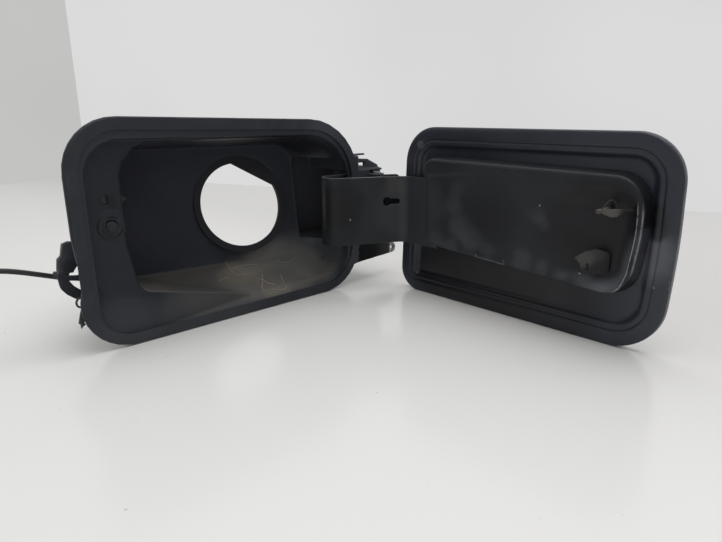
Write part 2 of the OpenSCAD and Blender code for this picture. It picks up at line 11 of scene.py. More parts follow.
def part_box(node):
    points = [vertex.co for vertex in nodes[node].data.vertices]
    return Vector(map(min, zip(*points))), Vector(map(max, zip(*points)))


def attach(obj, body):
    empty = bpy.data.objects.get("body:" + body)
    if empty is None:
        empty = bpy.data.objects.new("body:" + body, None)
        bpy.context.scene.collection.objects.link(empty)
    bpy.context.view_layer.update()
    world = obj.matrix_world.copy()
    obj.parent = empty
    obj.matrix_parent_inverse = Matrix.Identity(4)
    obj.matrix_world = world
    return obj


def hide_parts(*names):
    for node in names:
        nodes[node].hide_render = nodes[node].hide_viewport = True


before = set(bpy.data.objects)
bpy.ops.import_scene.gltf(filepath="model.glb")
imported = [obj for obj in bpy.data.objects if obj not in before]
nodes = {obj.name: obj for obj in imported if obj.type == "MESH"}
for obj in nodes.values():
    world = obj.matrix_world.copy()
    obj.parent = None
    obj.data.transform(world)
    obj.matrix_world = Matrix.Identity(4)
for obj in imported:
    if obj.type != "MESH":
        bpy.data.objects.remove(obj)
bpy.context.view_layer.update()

# The housing is drawn from its flange's lower left corner, in millimetres: x along the
# flange, y into the pot and z up. The hinge pin gives that drawing its place.
PIVOT = (291, -1.5)
pin_low, pin_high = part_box("hinge_pin")
PIN_AT = (pin_low + pin_high) / 2
LID_FACE = 1
MM = 0.001
CAD_WELD, SKIN_WELD, FLAT_WELD = 2e-6, 1e-6, 1e-5
BAY_X = 229


def at(x, y, z):
    """A point of the housing's drawing as a place in the scene."""
    return Vector((PIN_AT.x + (x - PIVOT[0]) * MM, PIN_AT.y + (y - PIVOT[1]) * MM, z * MM))


def upright(x, z, y):
    """The same, for flat shapes that are drawn over x and z."""
    return at(x, y, z)


def at_lid(x, z, depth):
    """A point of the open lid: x and z across the shut lid, depth inwards from its hem."""
    return at(PIVOT[0] + LID_FACE - depth, x - PIVOT[0] + PIVOT[1], z)


# Camera
CAMERA_AT = (-113.7, -403.5, 169)
CAMERA_PITCH = 15.75
CAMERA_AIM = Vector((0.69, 0.7236, -math.tan(math.radians(CAMERA_PITCH))))
PHOTO_SIZE = (722, 542)
FOCUS_PX = 558.7
SENSOR = 36

camera_data = bpy.data.cameras.new("camera")
camera_data.sensor_width = SENSOR
camera_data.lens = SENSOR * FOCUS_PX / PHOTO_SIZE[0]
camera_data.clip_start = 0.01
camera = bpy.data.objects.new("camera", camera_data)
camera.location = at(*CAMERA_AT)
camera.rotation_euler = CAMERA_AIM.to_track_quat("-Z", "Y").to_euler()
bpy.context.scene.collection.objects.link(camera)
bpy.context.scene.camera = camera
bpy.context.scene.view_settings.view_transform = "Standard"


# Helpers for meshes
def piece_of(name, mesh, material, body="housing", stands_for=()):
    """Links a finished mesh as a named piece that rides on a body."""
    mesh.name = name
    made = bpy.data.objects.new(name, mesh)
    bpy.context.scene.collection.objects.link(made)
    mesh.materials.clear()
    mesh.materials.append(material)
    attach(made, body)
    if stands_for:
        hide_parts(*stands_for)
    return made


def settled(mesh, modifiers):
    """The mesh that some modifiers make of another."""
    source = bpy.data.objects.new(mesh.name + "_source", mesh)
    bpy.context.scene.collection.objects.link(source)
    for kind, settings in modifiers:
        modifier = source.modifiers.new(kind.title(), kind)
        for key, value in settings.items():
            setattr(modifier, key, value)
    graph = bpy.context.evaluated_depsgraph_get()
    made = bpy.data.meshes.new_from_object(source.evaluated_get(graph))
    bpy.data.objects.remove(source)
    return made


def smooth_faces(mesh, sharp_angle=None):
    """Smooth shading, with edges sharper than an angle in degrees left crisp."""
    mesh.polygons.foreach_set("use_smooth", [True] * len(mesh.polygons))
    if sharp_angle is not None:
        mesh.set_sharp_from_angle(angle=math.radians(sharp_angle))
    mesh.update()
    return mesh


def reworked(mesh, *steps):
    """The mesh after some steps of bmesh work on it."""
    form = bmesh.new()
    form.from_mesh(mesh)
    for step in steps:
        step(form)
    form.to_mesh(mesh)
    form.free()
    return mesh


def weld(reach):
    """A step that joins vertices closer than reach."""
    return lambda form: bmesh.ops.remove_doubles(form, verts=form.verts, dist=reach)


def merged_copy(node):
    """A copy of a CAD node's mesh with its loose triangles joined."""
    mesh = reworked(nodes[node].data.copy(), weld(CAD_WELD))
    mesh.materials.clear()
    return mesh


def moulded(name, meshes, voxel, share):
    """Closed forms made one, with every edge rounded, as they leave a mould."""
    return smooth_faces(settled(joined(name, meshes), [
        ("REMESH", {"mode": "VOXEL", "voxel_size": voxel, "adaptivity": 0}),
        ("SMOOTH", {"factor": 0.5, "iterations": 3}),
        ("DECIMATE", {"ratio": share})]))


def vectors_of(mesh, kind):
    """One row for each vertex: its place, "co", or the way it faces, "normal"."""
    values = np.empty(len(mesh.vertices) * 3)
    mesh.vertices.foreach_get(kind, values)
    return values.reshape(-1, 3)


def give_attribute(mesh, name, values):
    """Stores one number for each vertex, for a material to read."""
    mesh.attributes.new(name, "FLOAT", "POINT").data.foreach_set("value", values.astype(np.float32))


def bedded(low, high, value):
    """A smooth step from 0 at low to 1 at high."""
    t = np.clip((value - low) / (high - low), 0, 1)
    return t * t * (3 - 2 * t)


def corner_of(before, corner, after):
    """A corner's point, the ways to its neighbours, the way between them and half its angle."""
    a, b, c = (np.array(p, float) for p in (before, corner, after))
    u, v = (a - b) / np.linalg.norm(a - b), (c - b) / np.linalg.norm(c - b)
    return b, u, v, (u + v) / np.linalg.norm(u + v), math.acos(np.clip(u @ v, -1, 1)) / 2


def corner_arc(before, corner, after, radius, steps):
    """Points of the arc that rounds a corner."""
    b, u, v, inward, half = corner_of(before, corner, after)
    centre = b + inward * radius / math.sin(half)
    start, end = (b + way * radius / math.tan(half) - centre for way in (u, v))
    first = math.atan2(start[1], start[0])
    turn = (math.atan2(end[1], end[0]) - first + math.pi) % (2 * math.pi) - math.pi
    angles = (first + turn * i / steps for i in range(steps + 1))
    return [centre + radius * np.array([math.cos(a), math.sin(a)]) for a in angles]


def outline(corners, radii, inset=0, steps=14):
    """A rounded outline, moved inwards by inset."""
    moved = []
    for before, corner, after in zip(corners[-1:] + corners[:-1], corners, corners[1:] + corners[:1]):
        b, _, _, inward, half = corner_of(before, corner, after)
        moved.append(b + inward * inset / math.sin(half))
    line = []
    for i, radius in enumerate(radii):
        line += corner_arc(moved[i - 1], moved[i], moved[(i + 1) % len(moved)], radius - inset, steps)
    return line


def to_outline(line, x, z):
    """How far points lie inside a closed outline, negative outside it."""
    a = np.array(line)
    b = np.roll(a, -1, axis=0)
    p = np.stack([x, z], axis=-1)[:, None, :]
    span = b - a
    t = np.clip(((p - a) * span).sum(-1) / (span ** 2).sum(-1), 0, 1)
    gap = np.sqrt((((a + t[..., None] * span) - p) ** 2).sum(-1)).min(1)
    above = (a[:, 1] > p[..., 1]) != (b[:, 1] > p[..., 1])
    cross = a[:, 0] + (p[..., 1] - a[:, 1]) / np.where(span[:, 1] == 0, 1e-9, span[:, 1]) * span[:, 0]
    inside = (above & (p[..., 0] < cross)).sum(1) % 2 == 1
    return np.where(inside, gap, -gap)


def ring_skin(name, rings, round_again=False):
    """A closed skin through rings of equally many points, with flat ends or round to the first ring."""
    count = len(rings[0])
    faces = []
    for i in range(len(rings) if round_again else len(rings) - 1):
        start, after = i * count, (i + 1) % len(rings) * count
        for j in range(count):
            k = (j + 1) % count
            faces.append((start + j, start + k, after + k, after + j))
    if not round_again:
        faces.append(tuple(range(count - 1, -1, -1)))
        faces.append(tuple((len(rings) - 1) * count + j for j in range(count)))
    return outward(name, [tuple(p) for ring in rings for p in ring], faces)


def outward(name, points, faces):
    """A mesh of points and faces, welded and with its faces turned outwards."""
    mesh = bpy.data.meshes.new(name)
    mesh.from_pydata(points, [], faces)
    return reworked(mesh, weld(SKIN_WELD), lambda form: bmesh.ops.recalc_face_normals(form, faces=form.faces))


def shade_part(mesh, material, low, high):
    """Gives the faces between two corners in the housing's drawing another finish."""
    mesh.materials.append(material)
    low, high = at(*low), at(*high)
    for face in mesh.polygons:
        if all(a < c < b for a, c, b in zip(low, face.center, high)):
            face.material_index = len(mesh.materials) - 1


def curve_through(points, steps):
    """A smooth curve through given points."""
    p = [np.array(q, float) for q in points]
    line = []
    for i in range(len(p) - 1):
        a, b, c, d = p[max(i - 1, 0)], p[i], p[i + 1], p[min(i + 2, len(p) - 1)]
        for s in range(steps):
            t = s / steps
            line.append(0.5 * (2 * b + (c - a) * t + (2 * a - 5 * b + 4 * c - d) * t ** 2
                               + (3 * b - a - 3 * c + d) * t ** 3))
    return line + [p[-1]]


def tube(name, line, radius, sides):
    """A round section swept along a line in metres; radius is one number or one for each point."""
    line = [Vector(p) for p in line]
    radii = [radius] * len(line) if isinstance(radius, float) else list(radius)
    across = None
    rings = []
    for i, point in enumerate(line):
        along = (line[min(i + 1, len(line) - 1)] - line[max(i - 1, 0)]).normalized()
        if across is None:
            across = along.orthogonal().normalized()
        across = (across - along * across.dot(along)).normalized()
        up = along.cross(across)
        rings.append([point + radii[i] * (math.cos(a) * across + math.sin(a) * up)
                      for a in (2 * math.pi * j / sides for j in range(sides))])
    return smooth_faces(ring_skin(name, rings), 50)


def hoop(name, place, radius, steps, gap, wire, sides):
    """A wire ring whose ends all but meet, gap radians apart: place(u, v) puts its points."""
    angles = [2 * math.pi * i / steps for i in range(steps)] + [2 * math.pi - gap]
    line = [place(radius * math.cos(a), radius * math.sin(a)) for a in angles]
    return tube(name, line, wire * MM, sides)


def prism(name, shape, low, high, place):
    """A flat shape made solid: place(u, v, w) puts its points, w running from low to high."""
    return ring_skin(name, [[place(u, v, w) for u, v in shape] for w in (low, high)])


def flat_faces(loops, loose=()):
    """Triangles over closed lines and loose points, with what each point came from."""
    flat, edges = [], []
    for loop in loops:
        edges += [(len(flat) + j, len(flat) + (j + 1) % len(loop)) for j in range(len(loop))]
        flat += loop
    flat = [Vector(q) for q in flat + list(loose)]
    placed, _, faces, origins, _, _ = delaunay_2d_cdt(flat, edges, [], 1, FLAT_WELD)
    return np.array([tuple(q) for q in placed]), [tuple(f) for f in faces], origins


def plate(name, edge, holes, low, high, place):
    """A flat shape with holes made solid, w running from low to high."""
    flat, faces, _ = flat_faces([edge] + holes)
    middles = np.array([flat[list(f)].mean(0) for f in faces]).T
    solid = to_outline(edge, *middles) > 0
    for hole in holes:
        solid &= to_outline(hole, *middles) < 0
    faces = [f for f, keep in zip(faces, solid) if keep]
    count = len(flat)
    points = [place(u, v, w) for w in (low, high) for u, v in flat]
    sides = [(a, b) for f in faces for a, b in zip(f, f[1:] + f[:1])]
    seen = set(sides)
    walls = [(a, b, b + count, a + count) for a, b in sides if (b, a) not in seen]
    return outward(name, points, faces + [tuple(i + count for i in f) for f in faces] + walls)


def joined(name, meshes):
    """Several meshes as one, each still closed in itself."""
    form = bmesh.new()
    for mesh in meshes:
        form.from_mesh(mesh)
    made = bpy.data.meshes.new(name)
    form.to_mesh(made)
    form.free()
    for mesh in meshes:
        bpy.data.meshes.remove(mesh)
    return made


def rounded(mesh, width):
    """The mesh with its sharp edges rounded off."""
    made = settled(mesh, [("BEVEL", {"width": width, "segments": 3, "limit_method": "ANGLE",
                                     "angle_limit": math.radians(35), "use_clamp_overlap": True})])
    return smooth_faces(made, 40)


# Materials
class Finish:
    """One procedural material, built from a few short words for its nodes."""

    def __init__(self, name):
        self.material = bpy.data.materials.new(name)
        self.material.use_nodes = True
        self.tree = self.material.node_tree
        self.shader = self.tree.nodes["Principled BSDF"]
        self.coords = self.made("TexCoord", {}, "Object")
        self.ragged = self.coords

    def made(self, kind, inputs, output=0, **settings):
        """One output of a new node, with its inputs fed."""
        node = self.tree.nodes.new("ShaderNode" + kind)
        for key, value in settings.items():
            setattr(node, key, value)
        for key, value in inputs.items():
            self.feed(node.inputs[key], value)
        return node.outputs[output]

    def feed(self, socket, value):
        if isinstance(value, bpy.types.NodeSocket):
            self.tree.links.new(value, socket)
        else:
            socket.default_value = (*value, 1) if socket.type == "RGBA" else value

    def noise(self, scale, detail=4, rough=0.55, warp=0, output="Fac"):
        return self.made("TexNoise", {"Vector": self.coords, "Scale": scale, "Detail": detail,
                                      "Roughness": rough, "Distortion": warp}, output)

    def ramp(self, value, low, high, to_low=0, to_high=1):
        return self.made("MapRange", {"Value": value, "From Min": low, "From Max": high, "To Min": to_low,
                                      "To Max": to_high}, "Result", interpolation_type="SMOOTHSTEP")

    def maths(self, kind, a, b):
        return self.made("Math", {0: a, 1: b}, operation=kind)

    def product(self, *values):
        result = values[0]
        for value in values[1:]:
            result = self.maths("MULTIPLY", result, value)
        return result

    def mix(self, share, a, b):
        return self.made("Mix", {"Factor": share, 6: a, 7: b}, 2, data_type="RGBA")

    def vectors(self, kind, a, b):
        return self.made("VectorMath", {0: a, "Scale" if kind == "SCALE" else 1: b},
                         "Value" if kind == "DISTANCE" else "Vector", operation=kind)

    def part(self, vector, axis):
        return self.made("SeparateXYZ", {0: vector}, axis)

    def facing(self, axis, low, high):
        """0 to 1 as the surface turns to face along an axis."""
        return self.ramp(self.part(self.made("NewGeometry", {}, "Normal"), axis), low, high)

    def along(self, axis, start, end):
        """0 to 1 from start to end, in millimetres along an axis of the housing's drawing."""
        i = "XYZ".index(axis)
        low, high = (at(number, number, number)[i] for number in (start, end))
        return self.ramp(self.part(self.coords, axis), low, high)

    def near(self, point, radius, soft, clean=False):
        """1 within radius of a point, falling to 0 over soft, in metres, with a ragged or a clean edge."""
        gap = self.vectors("DISTANCE", self.coords if clean else self.ragged, point)
        return self.ramp(gap, radius, radius + soft, 1, 0)

    def fray(self, amount, scale):
        """Shifts the places that near() reads by a little noise."""
        wander = self.vectors("SUBTRACT", self.noise(scale, 4, 0.5, output="Color"), (0.5, 0.5, 0.5))
        self.ragged = self.vectors("ADD", self.coords, self.vectors("SCALE", wander, amount))

    def marked(self, colour, marks, clean=False):
        """The colour with soft marks over it: each is a place, a radius, a softness, a tone, a share."""
        for place, radius, soft, tone, share in marks:
            spot = self.near(place, radius * MM, soft * MM, clean)
            colour = self.mix(self.product(spot, share), colour, tone)
        return colour

    def attribute(self, name):
        return self.made("Attribute", {}, "Fac", attribute_name=name)

    def bump(self, height, strength, distance=0.0003):
        bent = self.made("Bump", {"Height": height, "Strength": strength, "Distance": distance})
        self.feed(self.shader.inputs["Normal"], bent)

    def set(self, **sockets):
        """Sets the shader's own sockets, whose names have _ for a space here, and gives the material."""
        for key, value in sockets.items():
            self.feed(self.shader.inputs[key.replace("_", " ")], value)
        return self.material


def lifted(colour, factor, add=0):
    """A colour made lighter or darker."""
    return tuple(c * factor + add for c in colour)


def moulded_plastic(name, colour, dust_colour, dust_amount):
    """Plastic with a fine grain, a haze, and dust where it faces up."""
    f = Finish(name)
    blotch = f.noise(22, 5, 0.6)
    dust = f.product(f.facing("Z", 0.1, 0.9), f.ramp(blotch, 0.3, 0.65), dust_amount)
    haze = f.ramp(f.noise(9, 4), 0.35, 0.7, 0, 0.35)
    f.bump(f.noise(900, 2), 0.25)
    return f.set(Base_Color=f.mix(dust, f.mix(haze, colour, lifted(colour, 1.9, 0.004)), dust_colour),
                 Roughness=f.ramp(blotch, 0.3, 0.7, 0.43, 0.62))


def rubber(name, colour, rough=0.72, marks=()):
    """Matt rubber or thread with a pale bloom, and marks where it has any."""
    f = Finish(name)
    f.fray(0.002, 200)
    f.bump(f.noise(1400, 2), 0.2)
    bloom = f.ramp(f.noise(40, 4), 0.4, 0.75, 0, 0.5)
    return f.set(Base_Color=f.marked(f.mix(bloom, colour, lifted(colour, 2.2)), marks), Roughness=rough)


def lid_paint(name):
    """Dark blue-black body paint, dulled and scuffed; its marks and specks are on the inner side only, and
    among them are painted shade and painted light.
    """
    f = Finish(name)
    f.fray(0.004, 160)
    scuffs = f.noise(34, 5, 0.6, 0.5)
    haze = f.ramp(scuffs, 0.35, 0.75, 0, 0.8)
    f.bump(f.noise(210, 1), 0.05, 0.0004)
    colour = f.mix(haze, (0.016, 0.0195, 0.031), (0.0265, 0.03, 0.041))
    outer = f.along("X", PIVOT[0] + LID_FACE + 6.4, PIVOT[0] + LID_FACE + 7.2)
    return f.set(Base_Color=f.mix(outer, f.marked(colour, HEM_MARKS_AND_PAINTED_LIGHT + HEM_SPECKS), colour),
                 Roughness=f.ramp(scuffs, 0.35, 0.7, 0.34, 0.5),
                 Specular_IOR_Level=0.4, Coat_Weight=0.12, Coat_Roughness=0.25)


def metal(name, colour, rough, tarnish=(0.12, 0.08, 0.05)):
    """Metal with tarnished spots."""
    f = Finish(name)
    spots = f.noise(180, 5, 0.6)
    return f.set(Base_Color=f.mix(f.ramp(spots, 0.5, 0.7, 0, 0.6), colour, tarnish),
                 Roughness=f.ramp(spots, 0.3, 0.7, rough, rough + 0.2), Metallic=0.9)


def housing_plastic(name):
    """The housing's black plastic: painted shade darkening the shelf and pot, painted light lifting the
    deeper pot and the hinge's bay, dust and dried mud on the ramp below.
    """
    f = Finish(name)
    f.fray(0.01, 60)
    blotch = f.noise(22, 5, 0.6)
    haze = f.ramp(f.noise(9, 4), 0.35, 0.7, 0, 0.35)
    inside = f.attribute("inside")
    inward, deep = (f.product(inside, f.along("Y", *span)) for span in ((4, 11), (11, 24)))
    colour = f.mix(haze, (0.0185, 0.0222, 0.031), (0.032, 0.037, 0.049))
    # Painted shade: faces that look into the pot, the shelf among them, are darker.
    colour = f.mix(inward, colour, (0.0098, 0.012, 0.018))
    # Painted light: deeper in the pot the colour is lifted again, and more at the hinge's bay.
    colour = f.mix(f.product(deep, 0.9), colour, (0.03, 0.032, 0.045))
    bay = f.product(deep, f.along("X", BAY_X, BAY_X + 7), f.along("Z", 38, 44))
    colour = f.mix(bay, colour, (0.08, 0.084, 0.098))
    up = f.facing("Z", 0.15, 0.85)
    mud = f.product(up, inward, f.along("Z", 56, 28), f.ramp(blotch, 0.2, 0.7, 0.5, 1))
    colour = f.mix(mud, colour, (0.12, 0.114, 0.102))
    dust = f.product(up, f.ramp(blotch, 0.3, 0.65), 0.25)
    colour = f.mix(dust, colour, (0.06, 0.058, 0.053))
    f.bump(f.noise(900, 2), 0.22)
    colour = f.mix(inside, colour, f.marked(colour, POT_MARKS_AND_PAINTED_LIGHT))
    return f.set(Base_Color=f.marked(colour, FLANGE_MARKS), Specular_IOR_Level=0.36,
                 Roughness=f.maths("ADD", f.ramp(blotch, 0.3, 0.7, 0.46, 0.6), f.product(deep, 0.18)))


def shaded_plastic(name):
    """Plastic that stays in shade: dull black, a little lighter towards the lug."""
    f = Finish(name)
    lug = f.along("X", 287, 311)
    blotch = f.noise(60, 4)
    colour = f.mix(f.ramp(blotch, 0.4, 0.7), (0.0035, 0.0038, 0.005), (0.006, 0.0065, 0.008))
    f.bump(f.noise(900, 2), 0.2)
    return f.set(Base_Color=f.mix(lug, colour, (0.026, 0.027, 0.029)), Specular_IOR_Level=0.12,
                 Roughness=f.ramp(blotch, 0.3, 0.7, 0.6, 0.75))


def carrier_plastic(name):
    """The lid carrier's black plastic, wiped and scuffed: wear and painted highlight along the bowl's rim,
    painted light on the slope inside it, painted highlight along the arm's top edge, and painted shade in the
    bowl, on the arm near the housing and in the keyhole.
    """
    f = Finish(name)
    f.fray(0.012, 70)
    blotch = f.noise(30, 5, 0.6)
    haze = f.ramp(blotch, 0.35, 0.75, 0, 0.5)
    colour = f.mix(haze, (0.0145, 0.017, 0.02), (0.022, 0.025, 0.029))
    # Painted highlight: the arm's upward-facing top edge is lightened.
    top = f.product(f.facing("Z", 0.6, 0.9), f.along("Z", 105, 109), f.along("X", 284, 281), 0.7)
    colour = f.marked(f.mix(top, colour, (0.16, 0.165, 0.17)), CARRIER_MARKS_AND_PAINTED_LIGHT)
    specks = f.ramp(f.noise(240, 1, 0.4), 0.81, 0.83, 0, 0.8)
    colour = f.mix(specks, colour, (0.35, 0.36, 0.36))
    # Wear and painted highlight along the rim's two edges and the tab's lip.
    wear_and_highlight = f.product(f.attribute("wear_and_highlight"), f.ramp(f.noise(230, 6, 0.85), 0.3, 0.52))
    colour = f.mix(wear_and_highlight, colour, (0.46, 0.47, 0.5))
    # Painted light on the slope inside the rim.
    colour = f.mix(f.attribute("glow"), colour, (0.125, 0.13, 0.148))
    # Painted shade in the keyhole.
    colour = f.marked(colour, KEYHOLE_PAINTED_SHADE, True)
    f.bump(f.noise(700, 2), 0.18)
    return f.set(Base_Color=colour, Specular_IOR_Level=0.34, Roughness=f.ramp(blotch, 0.3, 0.7, 0.4, 0.56))


def hook_finish(name):
    """Greyer plastic, paler at the tips that rub, with painted light on the wing's top and painted shade low
    on it.
    """
    f = Finish(name)
    f.fray(0.004, 120)
    blotch = f.noise(60, 4)
    colour = f.mix(f.ramp(blotch, 0.35, 0.7), (0.011, 0.0112, 0.0116), (0.018, 0.018, 0.017))
    f.bump(f.noise(700, 2), 0.18)
    return f.set(Base_Color=f.marked(colour, HOOK_WEAR_AND_PAINTED_LIGHT), Specular_IOR_Level=0.3,
                 Roughness=f.ramp(blotch, 0.3, 0.7, 0.5, 0.62))


# Marks: where wear, dirt and grease show, and where shade and light are painted into the colour.
# Each row is a place in the drawing of the housing or of the lid, then a radius and a softness in
# millimetres, a tone and a share.
def marks_at(place, rows):
    """The rows with each place as one in the scene."""
    return [(tuple(place(*row[:3])), *row[3:]) for row in rows]


BLACK, SMEAR, WHITE = (0.001, 0.001, 0.001), (0.06, 0.064, 0.066), (0.55, 0.56, 0.56)
TAN, GREY_MUD = (0.29, 0.235, 0.175), (0.185, 0.178, 0.16)
# The lid's inner side: painted shade in the tray under the panel, painted light on the tray beside the bowl's
# rim and on the step lines at the top, other lighter and darker spots, and a white dot.
HEM_MARKS_AND_PAINTED_LIGHT = marks_at(at_lid, [
    (150, 24, -5, 30, 30, (0.003, 0.0035, 0.005), 0.9), (92, 22, -5, 24, 26, (0.004, 0.0045, 0.006), 0.8),
    (208, 24, -5, 20, 22, (0.003, 0.0035, 0.005), 0.9), (14, 38, -1, 18, 18, (0.04, 0.044, 0.052), 0.4),
    (25, 74, -4, 10, 16, (0.115, 0.118, 0.136), 0.75), (26, 96, -4, 5, 8, (0.05, 0.052, 0.062), 0.5),
    (248, 78, 0, 10, 26, (0.052, 0.057, 0.066), 0.7), (244, 120, 0, 8, 16, (0.04, 0.043, 0.05), 0.6),
    (150, 137, -4, 6, 30, (0.024, 0.027, 0.038), 0.7), (70, 135, -4, 6, 30, (0.024, 0.027, 0.038), 0.6),
    (246, 60, 0, 12, 26, (0.03, 0.033, 0.04), 0.5), (24, 101, -4, 7, 5, (0.006, 0.007, 0.009), 0.85),
    (21, 92, -4, 6, 5, (0.006, 0.007, 0.009), 0.85), (28.2, 139, 0, 0.9, 0.5, WHITE, 1),
    (235, 141, 0, 2, 3, (0.12, 0.12, 0.13), 0.6), (150, 149, 0, 30, 40, (0.02, 0.023, 0.031), 0.5),
])
HEM_SPECKS = marks_at(at_lid, [(x, z, 0, 0.2, 0.8, WHITE, 0.55) for x, z in (
    (20.1, 59.4), (19.9, 58.2), (19.3, 56), (19, 54.9), (18.8, 53.8), (18.4, 52.4), (18.1, 51.4),
    (7.1, 57.6), (7.2, 56.4), (7.3, 55), (7.5, 53.8), (7.7, 52.6))])
# Inside the pot: dust and dried mud on the ramp, small black spots, painted shade under the pot's top wall,
# in the slot above the stop and by the upper hinge bracket, and painted light in the hinge's bay.
POT_MARKS_AND_PAINTED_LIGHT = marks_at(at, [
    (176, 3, 8, 22, 16, (0.085, 0.085, 0.083), 0.55), (100, 4, 9, 30, 18, (0.056, 0.056, 0.056), 0.5),
    (152, 32, 21, 18, 16, GREY_MUD, 0.8), (172, 16, 16, 13, 10, TAN, 0.9), (150, 42, 20, 9, 12, TAN, 0.6),
    (172, 4, 12, 9, 9, TAN, 0.6), (190, 36, 24, 22, 20, GREY_MUD, 0.75),
    (214, 34, 30, 16, 18, (0.13, 0.132, 0.128), 0.7), (120, 22, 18, 30, 22, (0.08, 0.078, 0.07), 0.5),
    (180, 8, 9, 24, 16, (0.085, 0.082, 0.078), 0.7), (228, 24, 40, 4, 4, BLACK, 0.5),
    (238, 20, 30, 3, 3, BLACK, 0.4), (216, 28, 149, 24, 12, (0.004, 0.005, 0.008), 0.85),
    (168, 28, 149, 28, 12, (0.004, 0.005, 0.008), 0.85), (118, 28, 149, 28, 12, (0.005, 0.006, 0.009), 0.8),
    (248, 18, 44, 12, 14, (0.052, 0.055, 0.063), 0.7), (33, 12, 108, 3, 4, (0.003, 0.003, 0.004), 0.8),
    (300, 10, 128, 22, 10, (0.01, 0.011, 0.013), 0.7),
])
FLANGE_MARKS = marks_at(at, [
    (318, 1, 29.5, 5, 2.5, (0.21, 0.215, 0.21), 0.95), (262, 0, 60, 4, 18, (0.045, 0.048, 0.054), 0.6),
    (256, 0, 34, 8, 14, (0.046, 0.05, 0.058), 0.6), (226, 0, 159, 10, 22, (0.044, 0.05, 0.064), 0.55),
    (100, 0, 6, 30, 30, (0.042, 0.044, 0.047), 0.4), (30, 0, 12, 14, 20, (0.042, 0.045, 0.05), 0.5),
])
# Painted shade in the bowl and on the arm where it leaves the housing, painted light on the rim's outer wall
# and along the panel's top, smears, an olive spot on the arm's top, and other lighter and darker spots.
CARRIER_MARKS_AND_PAINTED_LIGHT = marks_at(at_lid, [
    (55, 88, 3, 26, 26, (0.004, 0.004, 0.006), 0.85), (85, 84, 6, 16, 26, (0.007, 0.007, 0.009), 0.6),
    (187, 90, 8, 3, 11, SMEAR, 0.4), (178, 72, 8, 4, 13, SMEAR, 0.6), (168, 63, 8, 4, 12, SMEAR, 0.6),
    (184, 104, 8, 2, 9, SMEAR, 0.25), (150, 57, 8, 3, 9, SMEAR, 0.4), (205, 56, 8, 3, 10, SMEAR, 0.45),
    (190, 54, 8, 3, 8, SMEAR, 0.45), (118, 54, 8, 4, 8, SMEAR, 0.45), (100, 51, 8, 2, 7, SMEAR, 0.45),
    (82, 49, 8, 2, 6, SMEAR, 0.5), (108, 92, 8, 2, 8, SMEAR, 0.25), (104, 87, 8, 2, 7, SMEAR, 0.25),
    (150, 86, 8, 10, 30, (0.009, 0.009, 0.012), 0.7), (70, 100, 4, 8, 22, (0.01, 0.009, 0.013), 0.5),
    (232, 80, 8, 24, 22, (0.04, 0.045, 0.051), 0.6), (23, 62, 1, 9, 7, (0.075, 0.078, 0.09), 0.6),
    (23, 80, 1, 9, 7, (0.06, 0.063, 0.075), 0.6), (150, 121, 8, 8, 40, (0.024, 0.026, 0.031), 0.4),
]) + marks_at(at, [
    (238, 8, 80, 22, 16, (0.005, 0.0055, 0.007), 0.85), (228, -20, 88, 14, 14, (0.004, 0.0045, 0.006), 0.8),
    (228, -20, 66, 12, 12, (0.006, 0.0065, 0.008), 0.6), (275, -40, 104, 5, 8, (0.06, 0.062, 0.045), 0.5),
])
# Pale tip of the latch hook where it rubs, painted light on the cap holder's wing at its top, and painted
# shade low on the wing.
HOOK_WEAR_AND_PAINTED_LIGHT = marks_at(at_lid, [
    (50, 104, 18, 6, 6, (0.115, 0.106, 0.092), 0.75), (64, 68, 14, 4, 7, (0.075, 0.075, 0.066), 0.75),
    (56, 72, 10, 3, 7, (0.045, 0.045, 0.042), 0.6), (50, 58, 8, 3, 4, (0.012, 0.012, 0.012), 0.5),
])
BOOT_MARKS = marks_at(at, [
    (-0.5, 31, 76, 3.2, 1.5, (0.15, 0.16, 0.145), 0.75),
    (-1.5, 31, 71, 2.6, 1.5, (0.15, 0.16, 0.145), 0.75), (-5, 29, 59, 1.5, 2, (0.13, 0.135, 0.15), 0.6),
    (3, 26, 62, 3, 4, (0.01, 0.014, 0.016), 0.6),
])
ARM_RUN = (0.904, -0.427)
KEYHOLE_AT = (269.1, -37.7, 88.5)
KEYHOLE_R, KEYHOLE_SLOT, KEYHOLE_DEEP = 4.6, (12.8, 3), (0.55, 4.5)
# Painted shade: the keyhole's round part and its slot are painted black.
KEYHOLE_PAINTED_SHADE = marks_at(at, [(*KEYHOLE_AT, 4, 0.4, BLACK, 1)] + [
    (KEYHOLE_AT[0] + ARM_RUN[0] * run, KEYHOLE_AT[1] + ARM_RUN[1] * run, KEYHOLE_AT[2], 2.5, 0.4, BLACK, 1)
    for run in (4.5, 6.5, 8.5, 10.5)])

housing_black = housing_plastic("housing_black")
casing_black = moulded_plastic("casing_black", (0.014, 0.015, 0.018), (0.07, 0.068, 0.06), 0.4)
carrier_black = carrier_plastic("carrier_black")
hook_plastic = hook_finish("hook_plastic")
shade_black = shaded_plastic("shade_black")
seal_rubber = rubber("seal_rubber", (0.011, 0.012, 0.015))
flange_rubber = rubber("flange_rubber", (0.012, 0.015, 0.021), 0.68, FLANGE_MARKS)
boot_rubber = rubber("boot_rubber", (0.029, 0.032, 0.041), 0.62, BOOT_MARKS)
lead_sheath = rubber("lead_sheath", (0.014, 0.014, 0.016), 0.5)
hem_paint = lid_paint("hem_paint")
thread_white = rubber("thread_white", (0.34, 0.31, 0.26), 0.8)
dull_steel = metal("dull_steel", (0.4, 0.4, 0.41), 0.35)
black_steel = metal("black_steel", (0.035, 0.036, 0.036), 0.45, (0.05, 0.045, 0.035))
wire_steel = metal("wire_steel", (0.075, 0.065, 0.055), 0.6)
clip_steel = metal("clip_steel", (0.085, 0.095, 0.085), 0.5)
copper_wire = metal("copper_wire", (0.55, 0.27, 0.13), 0.35)
